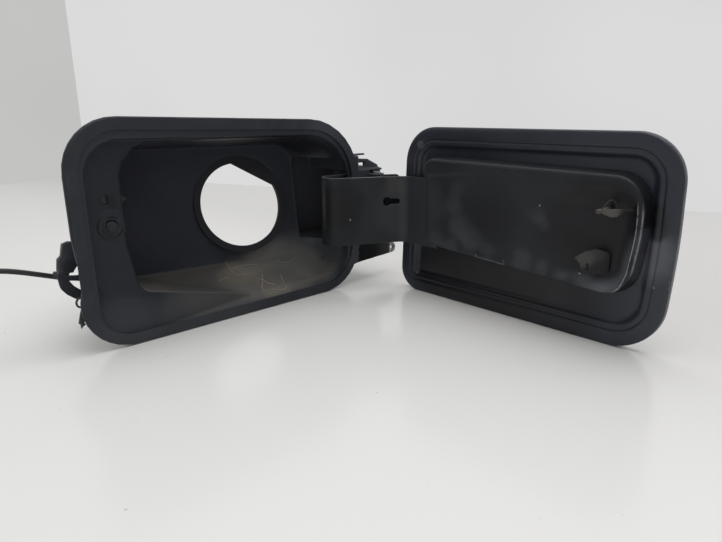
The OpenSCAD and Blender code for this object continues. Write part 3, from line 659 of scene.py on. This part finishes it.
pale_nylon = moulded_plastic("pale_nylon", (0.45, 0.44, 0.41), (0.2, 0.19, 0.17), 0.3)

for material, names in (
        (housing_black, "filler_housing"), (casing_black, "lock_casing lock_cover lead_plug"),
        (seal_rubber, "rim_seal neck_seal bump_stop pin_gaiter"), (boot_rubber, "lead_guide"),
        (lead_sheath, "lock_lead lead_coil"), (carrier_black, "lid_carrier"),
        (hem_paint, "lid_skin lid_inner"),
        (dull_steel, "lock_screws hinge_pin pin_clip hinge_spring carrier_rivets"),
        (black_steel, "retaining_clips lock_pin"), (wire_steel, "latch_wire"), (copper_wire, "lock_coil"),
        (pale_nylon, "hinge_bushes")):
    for name in names.split():
        mesh = nodes[name].data
        mesh.materials.clear()
        mesh.materials.append(material)


# Lead: the route from the lock's casing, then a coil of two layers beside the housing, in a strap
LEAD_R = 1.95
LEAD_ROUTE = [
    (26, 36, 92), (26, 36, 81), (26, 36, 70), (24.7, 36, 60.8), (21, 36, 55), (15.6, 36, 51.3), (9.4, 36, 50),
    (3.2, 36, 51), (-4, 36, 53.4), (-14, 36, 57), (-26, 36, 61.2), (-38, 36, 64.4), (-52, 35, 65.4),
    (-65, 33, 60.5), (-75.5, 30, 50), (-82.5, 26, 37), (-87.5, 20, 24), (-90.8, 10.5, 12), (-92.1, -2, 5),
    (-92.2, -14, 2.4)]
COIL_AT = (-117.5, -22)
COIL_R = 21.5
COIL_TURNS = 2
COIL_STEPS = 20
COIL_CLIMB = (0.93, 1.07)
STRAP_EDGE = [(16.9, 0.03), (26.1, 0.03), (26.1, 8.6), (16.9, 8.6)]
STRAP_HEAD = [(25.9, 2.2), (27.9, 2.5), (27.9, 5.9), (25.9, 6.2)]
STRAP_ROUND, STRAP_THICK, STRAP_HALF, HEAD_HALF = 2.5, 0.7, 1.2, 1.7
TAIL = [
    (-92.3, -20.5, 5.8), (-91.5, -27, 5.7), (-91.3, -33.2, 5.5), (-92.2, -39.4, 5.2), (-95.1, -45, 4.8),
    (-99.6, -49.4, 4.4), (-105.2, -52.1, 4.1), (-111, -52.9, 4)]


def coil_points():
    """Two turns inwards on the table, then two turns outwards on top of them."""
    wide = COIL_R + COIL_TURNS * LEAD_R
    line = []
    total = 2 * COIL_TURNS * COIL_STEPS
    for i in range(total):
        angle = -2 * math.pi * i / COIL_STEPS
        share = i / (COIL_TURNS * COIL_STEPS)
        inward = share if share < 1 else 2 - share
        radius = wide - 2 * LEAD_R * COIL_TURNS * inward
        height = LEAD_R + 2 * LEAD_R * float(bedded(*COIL_CLIMB, share))
        line.append((COIL_AT[0] + radius * math.cos(angle), COIL_AT[1] + radius * math.sin(angle), height))
    return line


def on_table(px, py):
    """Where the table shows at a pixel of the photograph."""
    ahead = Vector((CAMERA_AIM.x, CAMERA_AIM.y, 0)).normalized()
    right = Vector((ahead.y, -ahead.x, 0))
    pitch = math.radians(CAMERA_PITCH)
    down = (py - PHOTO_SIZE[1] / 2) / FOCUS_PX
    level = math.cos(pitch) - down * math.sin(pitch)
    fall = math.sin(pitch) + down * math.cos(pitch)
    ray = ahead * level + right * ((px - PHOTO_SIZE[0] / 2) / FOCUS_PX) - Vector((0, 0, fall))
    eye = at(*CAMERA_AT)
    return eye + ray * (eye.z / fall)


def tie_form():
    """A flat strap round the coil's turns, with its small head."""
    across = lambda u, v, w: at(COIL_AT[0] - u, COIL_AT[1] + w, v)
    outer, inner = (outline(STRAP_EDGE, [STRAP_ROUND] * 4, inset, 6) for inset in (0, STRAP_THICK))
    strap = plate("strap", outer, [inner], -STRAP_HALF, STRAP_HALF, across)
    return joined("lead_tie", [strap, prism("strap_head", STRAP_HEAD, -HEAD_HALF, HEAD_HALF, across)])


tie = piece_of("lead_tie", tie_form(), casing_black)
lead_line = [at(*p) for p in curve_through(LEAD_ROUTE + coil_points()[:1], 3)[:-1] + coil_points() + TAIL]
lead = piece_of("lock_lead_whole", tube("lock_lead_whole", lead_line, LEAD_R * MM, 10), lead_sheath,
                stands_for=("lock_lead", "lead_coil"))


# Lid: pressed outer skin with its hem, and the inner pressing
LID_CORNERS = [(9.7, 0), (255.9, 0), (251.3, 157.2), (9.7, 157.6), (6.7, 78.8)]
LID_RADII = [38, 21, 33, 35, 600]
SKIN_SECTION = [
    (20.5, -8.8), (12, -8.75), (5, -8.6), (2.2, -8.35), (0.9, -7.9), (0.25, -7.2), (0, -6.2), (0, -2),
    (0.2, -1), (0.8, -0.3), (1.8, 0), (3.5, 0.05), (6, -0.05), (9, -0.2), (10.6, -0.35), (11.3, -0.75),
    (11.5, -1.3), (11.2, -1.5), (9, -1), (3, -0.9), (1.2, -1.6), (0.8, -2.6), (0.8, -6.6), (2.4, -7.7),
    (5, -7.9), (20.5, -7.9)]
INNER_SECTION = [
    (2.6, -1.6), (9, -1.7), (11.2, -1.62), (12, -1.05), (13.2, -0.9), (15, -1.05), (16.2, -1.7),
    (17.1, -3), (18, -4.3), (19.2, -5), (20.6, -5.2), (20.6, -6.1), (17.6, -5.6), (16.4, -3.8),
    (14, -2.6), (9, -2.5), (2.6, -2.4)]
TRAY_INSET, TRAY_TOP, TRAY_UNDER = 20.6, -5.2, -6.1


def lid_rings(section):
    """The lid's outline at each inset and depth of a section."""
    return [[at_lid(x, z, depth) for x, z in outline(LID_CORNERS, LID_RADII, inset)]
            for inset, depth in section]


def tray():
    """The inner pressing: a swage and a step inside the hem, and a flat floor."""
    edge = smooth_faces(ring_skin("tray_edge", lid_rings(INNER_SECTION), True), 50)
    floor = prism("tray_floor", outline(LID_CORNERS, LID_RADII, TRAY_INSET), TRAY_UNDER, TRAY_TOP, at_lid)
    return joined("lid_tray", [edge, floor])


skin = smooth_faces(ring_skin("lid_skin_pressed", lid_rings(SKIN_SECTION)), 50)
piece_of("lid_skin_pressed", skin, hem_paint, "lid", ("lid_skin",))
piece_of("lid_inner_pressed", tray(), hem_paint, "lid", ("lid_inner",))


# Lid carrier: the moulded panel with its bowl, the gooseneck arm and the hooks
PANEL_CORNERS = [(33, 40), (222, 50.8), (224, 130.4), (31, 128), (27.5, 92)]
PANEL_RADII = [22, 8, 10, 22, 150]
PLATEAU, BOWL_FLOOR = 8, 2.3
PANEL_EDGE = [(-1.9, -5.4), (-1.6, -4.6), (-1, -2), (-0.45, 1), (-0.1, 3.8), (0.1, 5.4), (0.5, 6.5),
              (1.1, 7.25), (2, 7.75), (2.7, 7.95)]
PANEL_RINGS = [3.1, 3.4, 3.7, 4.2, 4.8, 5.5]
PANEL_STEP, RING_STEP = 1.4, 2
TAB = [(133.5, 46.9), (161.6, 48.5), (161.6, 54), (133.5, 52.9)]
TAB_LIP, TAB_DEPTH = 0.35, 0.9
BOWL_RUN = (68, 128)
FOOT_RUN, FOOT_RISE = (171, 196), 0.9
LUMP_AT, LUMP_SPREAD, LUMP_RISE = (181, 74), (13, 17), 0.8
SWAGE_AT, SWAGE_SPREAD, SWAGE_SINK = (120, 58), 3.4, 0.35


def rim_share(x, z):
    """1 along the bowl's rim at the lid's free end, 0 away from it."""
    return bedded(62, 48, x) * bedded(112, 101, z)


def ridge_width(z):
    """The rim is a flat ridge that runs out towards the lower corner."""
    return 3.5 * bedded(41, 57, z)


def panel_depth(x, z):
    """The panel's inner face: a plateau, the bowl that runs out softly, and the arm's foot."""
    inset = to_outline(outline(PANEL_CORNERS, PANEL_RADII), x, z)
    low = BOWL_FLOOR + (PLATEAU - BOWL_FLOOR) * bedded(*BOWL_RUN, x)
    crisp = 1 - (1 - np.clip((inset - ridge_width(z)) / 11, 0, 1)) ** 2
    share = rim_share(x, z)
    bowl = (crisp * share + bedded(2.6, 14, inset) * (1 - share)) * bedded(121, 102, z)
    depth = PLATEAU - (PLATEAU - low) * bowl
    arm_top = 113.3 + (230.9 - x) * 0.114
    foot = bedded(*FOOT_RUN, x + 6 * np.sin(z / 15)) * bedded(arm_top + 1.2, arm_top - 1.4, z)
    depth += FOOT_RISE * foot * bedded(3, 7, inset)
    lump = np.exp(-(((x - LUMP_AT[0]) / LUMP_SPREAD[0]) ** 2 + ((z - LUMP_AT[1]) / LUMP_SPREAD[1]) ** 2))
    depth += LUMP_RISE * lump * bedded(3, 9, inset)
    swage = np.exp(-((z - SWAGE_AT[1] - (x - SWAGE_AT[0]) * 0.02) / SWAGE_SPREAD) ** 2)
    depth -= SWAGE_SINK * swage * bedded(112, 128, x) * bedded(215, 205, x)
    depth -= TAB_DEPTH * np.clip(to_outline(TAB, x, z) / TAB_LIP, 0, 1)
    edge = np.interp(inset, *np.array(PANEL_EDGE).T)
    return np.where(inset < PANEL_EDGE[-1][0], np.minimum(edge, depth), depth)


def closely(line, step):
    """A closed line with points laid at most a step apart on its straight runs."""
    dense = []
    for a, b in zip(line, line[1:] + line[:1]):
        parts = max(1, math.ceil(float(np.linalg.norm(b - a)) / step))
        dense += [a + (b - a) * k / parts for k in range(parts)]
    return dense


def panel_skin():
    """The panel as one sheet over its outline, closed below inside the tray's floor."""
    insets = [inset for inset, _ in PANEL_EDGE] + PANEL_RINGS
    rings = [closely(outline(PANEL_CORNERS, PANEL_RADII, inset), RING_STEP) for inset in insets]
    rings += [closely(outline(TAB, [1] * 4, gap, 4), RING_STEP) for gap in (0, TAB_LIP)]
    gx, gz = np.meshgrid(np.arange(26, 226, PANEL_STEP), np.arange(38, 132, PANEL_STEP))
    gx, gz = gx.ravel(), gz.ravel()
    inset = to_outline(outline(PANEL_CORNERS, PANEL_RADII), gx, gz)
    keep = (inset > PANEL_RINGS[-1] + 0.7 * PANEL_STEP) & (abs(to_outline(TAB, gx, gz) - TAB_LIP / 2) > 0.6)
    flat, faces, origins = flat_faces(rings, zip(gx[keep], gz[keep]))
    x, z = flat.T
    points = [tuple(at_lid(u, v, d)) for u, v, d in zip(x, z, panel_depth(x, z))]
    count = len(rings[0])
    first = sorted((i for i in range(len(flat)) if origins[i] and origins[i][0] < count),
                   key=lambda i: origins[i][0])
    under = {i: len(points) + k for k, i in enumerate(first)}
    points += [tuple(at_lid(x[i], z[i], PANEL_EDGE[0][1] - 0.3)) for i in first]
    faces += [(a, b, under[b], under[a]) for a, b in zip(first, first[1:] + first[:1])]
    faces.append(tuple(under[i] for i in first))
    return smooth_faces(outward("panel_skin", points, faces), 42)


def cut_part(mesh, place, direction):
    """Keeps the part of a mesh beyond a plane, closed again where it was cut."""
    def cut(form):
        whole = list(form.verts) + list(form.edges) + list(form.faces)
        made = bmesh.ops.bisect_plane(form, geom=whole, plane_co=place, plane_no=direction, clear_inner=True)
        open_edges = [g for g in made["geom_cut"] if isinstance(g, bmesh.types.BMEdge)]
        bmesh.ops.holes_fill(form, edges=open_edges)
    reworked(mesh, cut)


ARM_VOXEL = 0.8 * MM
ARM_FROM, ARM_CLEAR, ARM_UNDER = 204, 227.5, 4.4
ARM_Z = (47.7, 112.8)


def arm_form():
    """The gooseneck from the panel's end to the hinge, in two parts that meet beyond the panel."""
    outer = moulded("arm", [merged_copy("lid_carrier")], ARM_VOXEL, 0.6)
    foot = outer.copy()
    cut_part(outer, at_lid(ARM_CLEAR, 0, 0), (0, 1, 0))
    for place, direction in (((ARM_FROM, 0, 0), (0, 1, 0)), ((ARM_CLEAR, 0, 0), (0, -1, 0)),
                             ((0, ARM_Z[0], 0), (0, 0, 1)), ((0, ARM_Z[1], 0), (0, 0, -1)),
                             ((0, 0, ARM_UNDER), (-1, 0, 0))):
        cut_part(foot, at_lid(*place), direction)
    return [smooth_faces(outer, 60), smooth_faces(foot, 60)]


def shade_keyhole(mesh):
    """The keyhole's floor and walls take the shaded finish."""
    mesh.materials.append(shade_black)
    start, along, back = at(*KEYHOLE_AT), Vector((*ARM_RUN, 0)), Vector((-ARM_RUN[1], ARM_RUN[0], 0))
    for face in mesh.polygons:
        off = (face.center - start) / MM
        run, deep = off.dot(along), off.dot(back)
        in_round = math.hypot(run, off.z) < KEYHOLE_R
        in_slot = 0 < run < KEYHOLE_SLOT[0] and abs(off.z) < KEYHOLE_SLOT[1]
        if KEYHOLE_DEEP[0] < deep < KEYHOLE_DEEP[1] and (in_round or in_slot):
            face.material_index = 1


def with_wear_and_painted_light(mesh):
    """Stores how bright each point is made: wear and painted highlight along the rim's two bright edges and
    the tab's lip, and painted light on the slope inside the rim.
    """
    p = vectors_of(mesh, "co")
    x, z = (p[:, 1] - at_lid(0, 0, 0).y) / MM, p[:, 2] / MM
    inset = to_outline(outline(PANEL_CORNERS, PANEL_RADII), x, z)
    line = lambda gap, width: np.exp(-(gap / width) ** 2)
    past_ridge = inset - ridge_width(z)
    wear_and_highlight = np.maximum(0.55 * line(inset - 0.5, 0.3) * bedded(54, 66, z), 0.9 * line(past_ridge, 0.3))
    wear_and_highlight *= bedded(56, 40, x) * bedded(112, 101, z)
    lip = line(to_outline(TAB, x, z) - 0.2, 0.35) * bedded(52.5, 50.5, z) * (x > 120) * (x < 164)
    glow = bedded(0, 1.5, past_ridge) * bedded(13, 4, inset) * bedded(92, 66, z) * bedded(80, 52, x)
    give_attribute(mesh, "wear_and_highlight", np.maximum(wear_and_highlight, 0.25 * lip))
    give_attribute(mesh, "glow", 0.7 * glow)
    return mesh


carrier_mesh = with_wear_and_painted_light(joined("carrier", [panel_skin()] + arm_form()))
piece_of("lid_carrier_moulded", carrier_mesh, carrier_black, "lid", ("lid_carrier",))
shade_keyhole(carrier_mesh)

LEAF = [(25.6, 104.9), (22, 105.4), (8, 105.4), (0, 106), (0, 105), (5.7, 103.9), (8.5, 101.8), (11.4, 99.9),
        (15, 99.7), (20, 101.6), (23.5, 103.4)]
LEAF_FOOT, LEAF_RUN, LEAF_THICK = (34.8, 7), (0.727, 0.687), 1.8
FINGER = [(50.8, 1.6), (50.8, 25.2), (52, 26.4), (53.8, 25.8), (53.8, 1.6)]
FINGER_Z = (102.4, 105.3)
WING = [(0, 57), (0, 71.5), (9, 74.2), (17, 72), (24.5, 67.2), (20.6, 63.5), (19.6, 57.4), (13.5, 55),
        (4, 55.6)]
WING_RADII = [1.5, 3, 5, 6, 0.8, 1.5, 2, 3, 2]
WING_WINDOW = [(14.2, 58.4), (16.4, 58.8), (16.2, 64), (14.4, 63.6)]
WING_FOOT, WING_RUN, WING_THICK = (50, 2.4), (0.76, 0.65), 2.4
RIB = [(0, 110.6), (1.5, 113.2), (3, 113.9), (16, 113.8), (18, 113), (19.5, 110.6)]
RIB_FOOT, RIB_OUT = (263.5, -35.1), (0.4, 3.2)


def turned(place, foot, run):
    """A way to place flat shapes: u runs from the foot, v is the height, w is across both."""
    return lambda u, v, w: place(foot[0] + run[0] * u - run[1] * w, v, foot[1] + run[1] * u + run[0] * w)


def hook_forms():
    """The latch hook's finger and leaf, the cap holder's wing, and the low rib on the arm."""
    leaf = prism("leaf", LEAF, 0, -LEAF_THICK, turned(at_lid, LEAF_FOOT, LEAF_RUN))
    finger = prism("finger", FINGER, *FINGER_Z, lambda u, v, w: at_lid(u, w, v))
    window = outline(WING_WINDOW, [0.6] * 4, 0, 3)
    wing = plate("wing", outline(WING, WING_RADII, 0, 4), [window], 0, WING_THICK,
                 turned(at_lid, WING_FOOT, WING_RUN))
    rib = prism("rib", RIB, *RIB_OUT, turned(upright, RIB_FOOT, ARM_RUN))
    return joined("carrier_hooks_moulded", [rounded(m, 0.7 * MM) for m in (leaf, finger, wing, rib)])


piece_of("carrier_hooks_moulded", hook_forms(), hook_plastic, "lid", ("lid_carrier",))

WIRE_R = 0.42
wire_line = [at_lid(*p) for p in (
    (51.4, 105.6, 21.6), (50.6, 106.6, 21.4), (48.2, 110.6, 19.4), (47.2, 111.6, 18.6), (46.3, 111.7, 17.8),
    (45.2, 110.2, 15), (44.6, 106.5, 13.6))]
wire_mesh = tube("wire", curve_through(wire_line, 4), WIRE_R * MM, 8)
piece_of("latch_wire_bent", wire_mesh, wire_steel, "lid", ("latch_wire",))


# Housing
HOUSING_VOXEL = 0.9 * MM
POT_CHAMFER = [(38.5, 122), (44, 135), (52, 145), (68, 151.5), (60, 156), (40, 150)]
CHAMFER_Y = (10.6, 40)
EDGE_EASE, EASE_X = 2.7, (13, 1)
EASE_AT_Z = [(34, 0), (40, 0.15), (48, 0.75), (56, 1), (64, 0.9), (74, 0.35), (86, 0)]
BAY_MIDDLE, POT_MIDDLE = (262, -10, 82), (135, -30, 84)
LOW_BRACKET = ((268, -1, 20), (312.5, 30, 51))


def eased_in(mesh):
    """Draws the flange's outer edge in where the lead passes it."""
    places = vectors_of(mesh, "co")
    origin = at(0, 0, 0)
    x, z = (places[:, 0] - origin.x) / MM, (places[:, 2] - origin.z) / MM
    places[:, 0] += EDGE_EASE * MM * np.interp(z, *np.array(EASE_AT_Z).T) * bedded(*EASE_X, x)
    mesh.vertices.foreach_set("co", places.ravel())
    mesh.update()
    return mesh


def with_inside(mesh):
    """Marks the faces that look into the pot or into the hinge's bay."""
    places, facing = vectors_of(mesh, "co"), vectors_of(mesh, "normal")
    in_bay = (places[:, 0] > at(BAY_X, 0, 0).x)[:, None]
    inwards = np.where(in_bay, tuple(at(*BAY_MIDDLE)), tuple(at(*POT_MIDDLE))) - places
    look = (facing * inwards).sum(1) / np.linalg.norm(inwards, axis=1)
    beyond = bedded(2.5, 6, (places[:, 1] - at(0, 0, 0).y) / MM)
    give_attribute(mesh, "inside", bedded(-0.1, 0.15, look) * beyond)
    return mesh


chamfer = prism("chamfer", POT_CHAMFER, *CHAMFER_Y, upright)
housing_mesh = moulded("housing", [merged_copy("filler_housing"), chamfer], HOUSING_VOXEL, 0.45)
housing_mesh = smooth_faces(with_inside(eased_in(housing_mesh)))
piece_of("filler_housing_moulded", housing_mesh, housing_black, "housing", ("filler_housing",))
# Painted shade: the low bracket's faces take the dull black of shade_black.
shade_part(housing_mesh, shade_black, *LOW_BRACKET)
piece_of("rim_seal_fitted", smooth_faces(eased_in(merged_copy("rim_seal")), 40), flange_rubber, "housing",
         ("rim_seal",))
housing_tree = BVHTree.FromPolygons([v.co for v in housing_mesh.vertices],
                                    [tuple(f.vertices) for f in housing_mesh.polygons])


def seen_on_housing(px, py):
    """Where the housing shows at a pixel of the photograph, and which way it faces there."""
    aim = on_table(px, py) - at(*CAMERA_AT)
    place, facing, _, _ = housing_tree.ray_cast(at(*CAMERA_AT), aim)
    return place, facing


STOP_X, STOP_Y, STOP_Z = 30.4, 10, 89.8
STOP_DOME = [(4.3, 0.6), (4.3, -1), (4, -1.6), (3.2, -2), (2, -2.2), (0.6, -2.25)]
STOP_RINGS, STOP_RING_OUT = [(5.9, 0.75), (9.2, 0.6)], 0.35


def stop_form():
    """A soft round stop with two raised rings round it."""
    rings = [[at(STOP_X + size * math.cos(a), STOP_Y + out, STOP_Z + size * math.sin(a))
              for a in np.linspace(0, 2 * math.pi, 40, endpoint=False)] for size, out in STOP_DOME]
    around = lambda u, v: at(STOP_X + u, STOP_Y - STOP_RING_OUT, STOP_Z + v)
    hoops = [hoop("ring", around, size, 56, 0.0006, wire, 8) for size, wire in STOP_RINGS]
    return smooth_faces(joined("bump_stop_moulded", [ring_skin("stop_dome", rings)] + hoops))


piece_of("bump_stop_moulded", stop_form(), seal_rubber, "housing", ("bump_stop",))


# Cobweb: threads that lie on the ramp's dust, placed as the photograph shows them
THREAD_R = 0.2 * MM
THREADS_PX = [
    [(225.7, 261.5), (228, 266), (230.7, 269.8), (234.8, 274), (240, 274.6), (246.4, 274.8)],
    [(276.3, 259.9), (279, 261.5), (282.9, 262.4), (287, 262.2), (290.4, 261.5), (293, 259.4), (294.5, 257)],
    [(280.4, 274.8), (282, 278), (283.4, 282), (286.2, 286.4), (284.6, 288.9), (279, 289.6), (272.1, 289.3)],
    [(255, 278), (262, 279.5), (268, 283), (274, 284.5), (280, 288)],
    [(230.7, 270), (238, 266.5), (247, 265), (257, 264.6)],
    [(219, 281), (224, 278.4), (229, 277.6)],
    [(262, 274), (262.5, 280), (262, 287), (264, 291)],
]


def cobweb_form():
    """The threads, each laid on the housing where a line of pixels meets it."""
    threads = []
    for line in THREADS_PX:
        places = []
        for px, py in line:
            place, facing = seen_on_housing(px, py)
            places.append(tuple(place + facing * THREAD_R))
        threads.append(tube("thread", curve_through(places, 3), THREAD_R, 5))
    return joined("cobweb_threads", threads)


piece_of("cobweb_threads", cobweb_form(), thread_white, "housing")


# Rubber boot that guides the lead round the flange's edge, and the spring clip below it
BOOT_EDGE = [(1, 78.4), (5.6, 79.6), (16, 77.6), (17, 33.4), (5.2, 35.9), (-0.4, 40.6), (-4.2, 45.8),
             (-5.2, 54.6), (-4.4, 60), (-3.4, 67.6), (-0.8, 70)]
BOOT_RADII = [3, 5, 1, 1, 8, 9, 9, 9, 9, 3, 2.4]
BOOT_WINDOWS = [[(0.2, 57), (5.6, 56.6), (8.4, 60.6), (13.6, 60.4), (13.6, 52.6), (8, 53.8), (0.2, 55)],
                [(1.8, 51.4), (13.6, 48.2), (13.6, 40.4), (9, 42.6), (5, 46.2)]]
BOOT_TAB = [(1, 78.4), (5.6, 79.6), (16, 77.6), (16, 61), (8, 61.4), (5.2, 57.6), (-1.4, 57.8),
            (-4.6, 57.4), (-4.4, 60), (-3.4, 67.6), (-0.8, 70)]
BOOT_Y, BOOT_TAB_Y = (27.4, 29.6), (26.6, 31.4)
COLLAR, COLLAR_R = [(-6, 36, 56), (-1, 34, 54), (3.5, 32.5, 52.6)], (2.1, 3, 3.4)


def boot_form():
    """The boot's flat body with its two windows, its thick upper tab, and the collar round the lead."""
    holes = [outline(w, [0.3] * len(w), 0, 3) for w in BOOT_WINDOWS]
    body = plate("boot_body", outline(BOOT_EDGE, BOOT_RADII, 0, 6), holes, *BOOT_Y, upright)
    tab = prism("boot_tab", BOOT_TAB, *BOOT_TAB_Y, upright)
    collar = tube("collar", [at(*p) for p in COLLAR], [radius * MM for radius in COLLAR_R], 14)
    return joined("lead_boot", [rounded(joined("boot_solid", [body, tab]), 0.8 * MM), collar])


piece_of("lead_boot", boot_form(), boot_rubber, "housing", ("lead_guide",))


PRONG = [(2, 34.6), (0.4, 30), (-1.2, 23.6), (-0.1, 23.2), (0.1, 19.3), (1.4, 21), (3.6, 22.2), (2.6, 23.6),
         (3.4, 28), (4.2, 34.6)]
PRONG_Y = (7.2, 8.6)
CLIP_AT, CLIP_R, CLIP_STRETCH, CLIP_WIRE = (2, 8, 38.9), 2.7, 1.25, 0.75


def clip_form():
    """A wire ring over a flat prong with a forked tip."""
    around = lambda u, v: at(CLIP_AT[0] + u, CLIP_AT[1], CLIP_AT[2] + CLIP_STRETCH * v)
    ring = hoop("ring", around, CLIP_R, 28, 0.003, CLIP_WIRE, 10)
    return joined("edge_clip", [ring, rounded(prism("prong", PRONG, *PRONG_Y, upright), 0.3 * MM)])


piece_of("edge_clip", clip_form(), clip_steel, "housing", ("retaining_clips",))


# Floor, walls and light
WALL_FOOT_PX = ((88, 176), (722, 213))
WALL_TOP, WALL_PAST, SIDE_REACH, SIDE_LEAN = 1.6, 1.5, 2, 0.25
TABLE_HALF = 6
ROOM_TONE = (0.5, 0.5, 0.51)


def quad(name, corners, material):
    """A flat surface of the stage."""
    mesh = bpy.data.meshes.new(name)
    mesh.from_pydata([tuple(c) for c in corners], [], [(0, 1, 2, 3)])
    made = bpy.data.objects.new(name, mesh)
    bpy.context.scene.collection.objects.link(made)
    mesh.materials.append(material)


def backdrop(name, colour):
    """A wall of an even pale tone, which gloss reflects as the camera sees it."""
    f = Finish(name)
    shade = f.ramp(f.ramp(f.noise(1.2, 2), 0.3, 0.7), 0, 1)
    glow = f.made("Emission", {"Color": f.mix(shade, lifted(colour, 0.96), lifted(colour, 1.02))})
    f.feed(f.tree.nodes["Material Output"].inputs["Surface"], glow)
    return f.material


def table_finish(name):
    """A white glossy table with a few specks, with painted shade making it dimmer towards the right."""
    f = Finish(name)
    f.bump(f.noise(6, 3), 0.04, 0.002)
    white = f.mix(f.ramp(f.part(f.coords, "X"), -0.05, 0.3), (0.785, 0.78, 0.762), (0.62, 0.61, 0.595))
    specks = f.ramp(f.noise(70, 3, 0.7), 0.72, 0.75)
    return f.set(Base_Color=f.mix(specks, white, (0.5, 0.48, 0.45)), Roughness=0.2)


corners = ((-1, -1), (1, -1), (1, 1), (-1, 1))
quad("table", [(x * TABLE_HALF, y * TABLE_HALF, 0) for x, y in corners], table_finish("table_top"))

foot_left, foot_right = (on_table(*p) for p in WALL_FOOT_PX)
along = (foot_right - foot_left).normalized()
rise = Vector((0, 0, WALL_TOP))
far_right = foot_right + along * WALL_PAST
near_left = foot_left + Vector((along.y, -along.x, 0)) * SIDE_REACH - along * SIDE_LEAN
# The side wall takes a darker tone than the back wall: painted shade.
for name, left, right, tone in (("back_wall", foot_left, far_right, (0.7, 0.7, 0.7)),
                                ("side_wall", near_left, foot_left, (0.54, 0.54, 0.53))):
    quad(name, [left, right, right + rise, left + rise], backdrop(name + "_pale", tone))

world = bpy.data.worlds.new("room")
bpy.context.scene.world = world
world.use_nodes = True
sky = world.node_tree.nodes["Background"]
sky.inputs["Color"].default_value = (*ROOM_TONE, 1)
sky.inputs["Strength"].default_value = 1

LAMP_AT, LAMP_AIM, LAMP_SIZE, LAMP_POWER = Vector((0.1, -0.1, 1.7)), Vector((0.05, 0, 0)), 1.6, 20
lamp_data = bpy.data.lights.new("ceiling", "AREA")
lamp_data.shape = "RECTANGLE"
lamp_data.size = lamp_data.size_y = LAMP_SIZE
lamp_data.energy = LAMP_POWER
lamp = bpy.data.objects.new("ceiling", lamp_data)
lamp.location = LAMP_AT
lamp.rotation_euler = (LAMP_AIM - LAMP_AT).to_track_quat("-Z", "Y").to_euler()
bpy.context.scene.collection.objects.link(lamp)
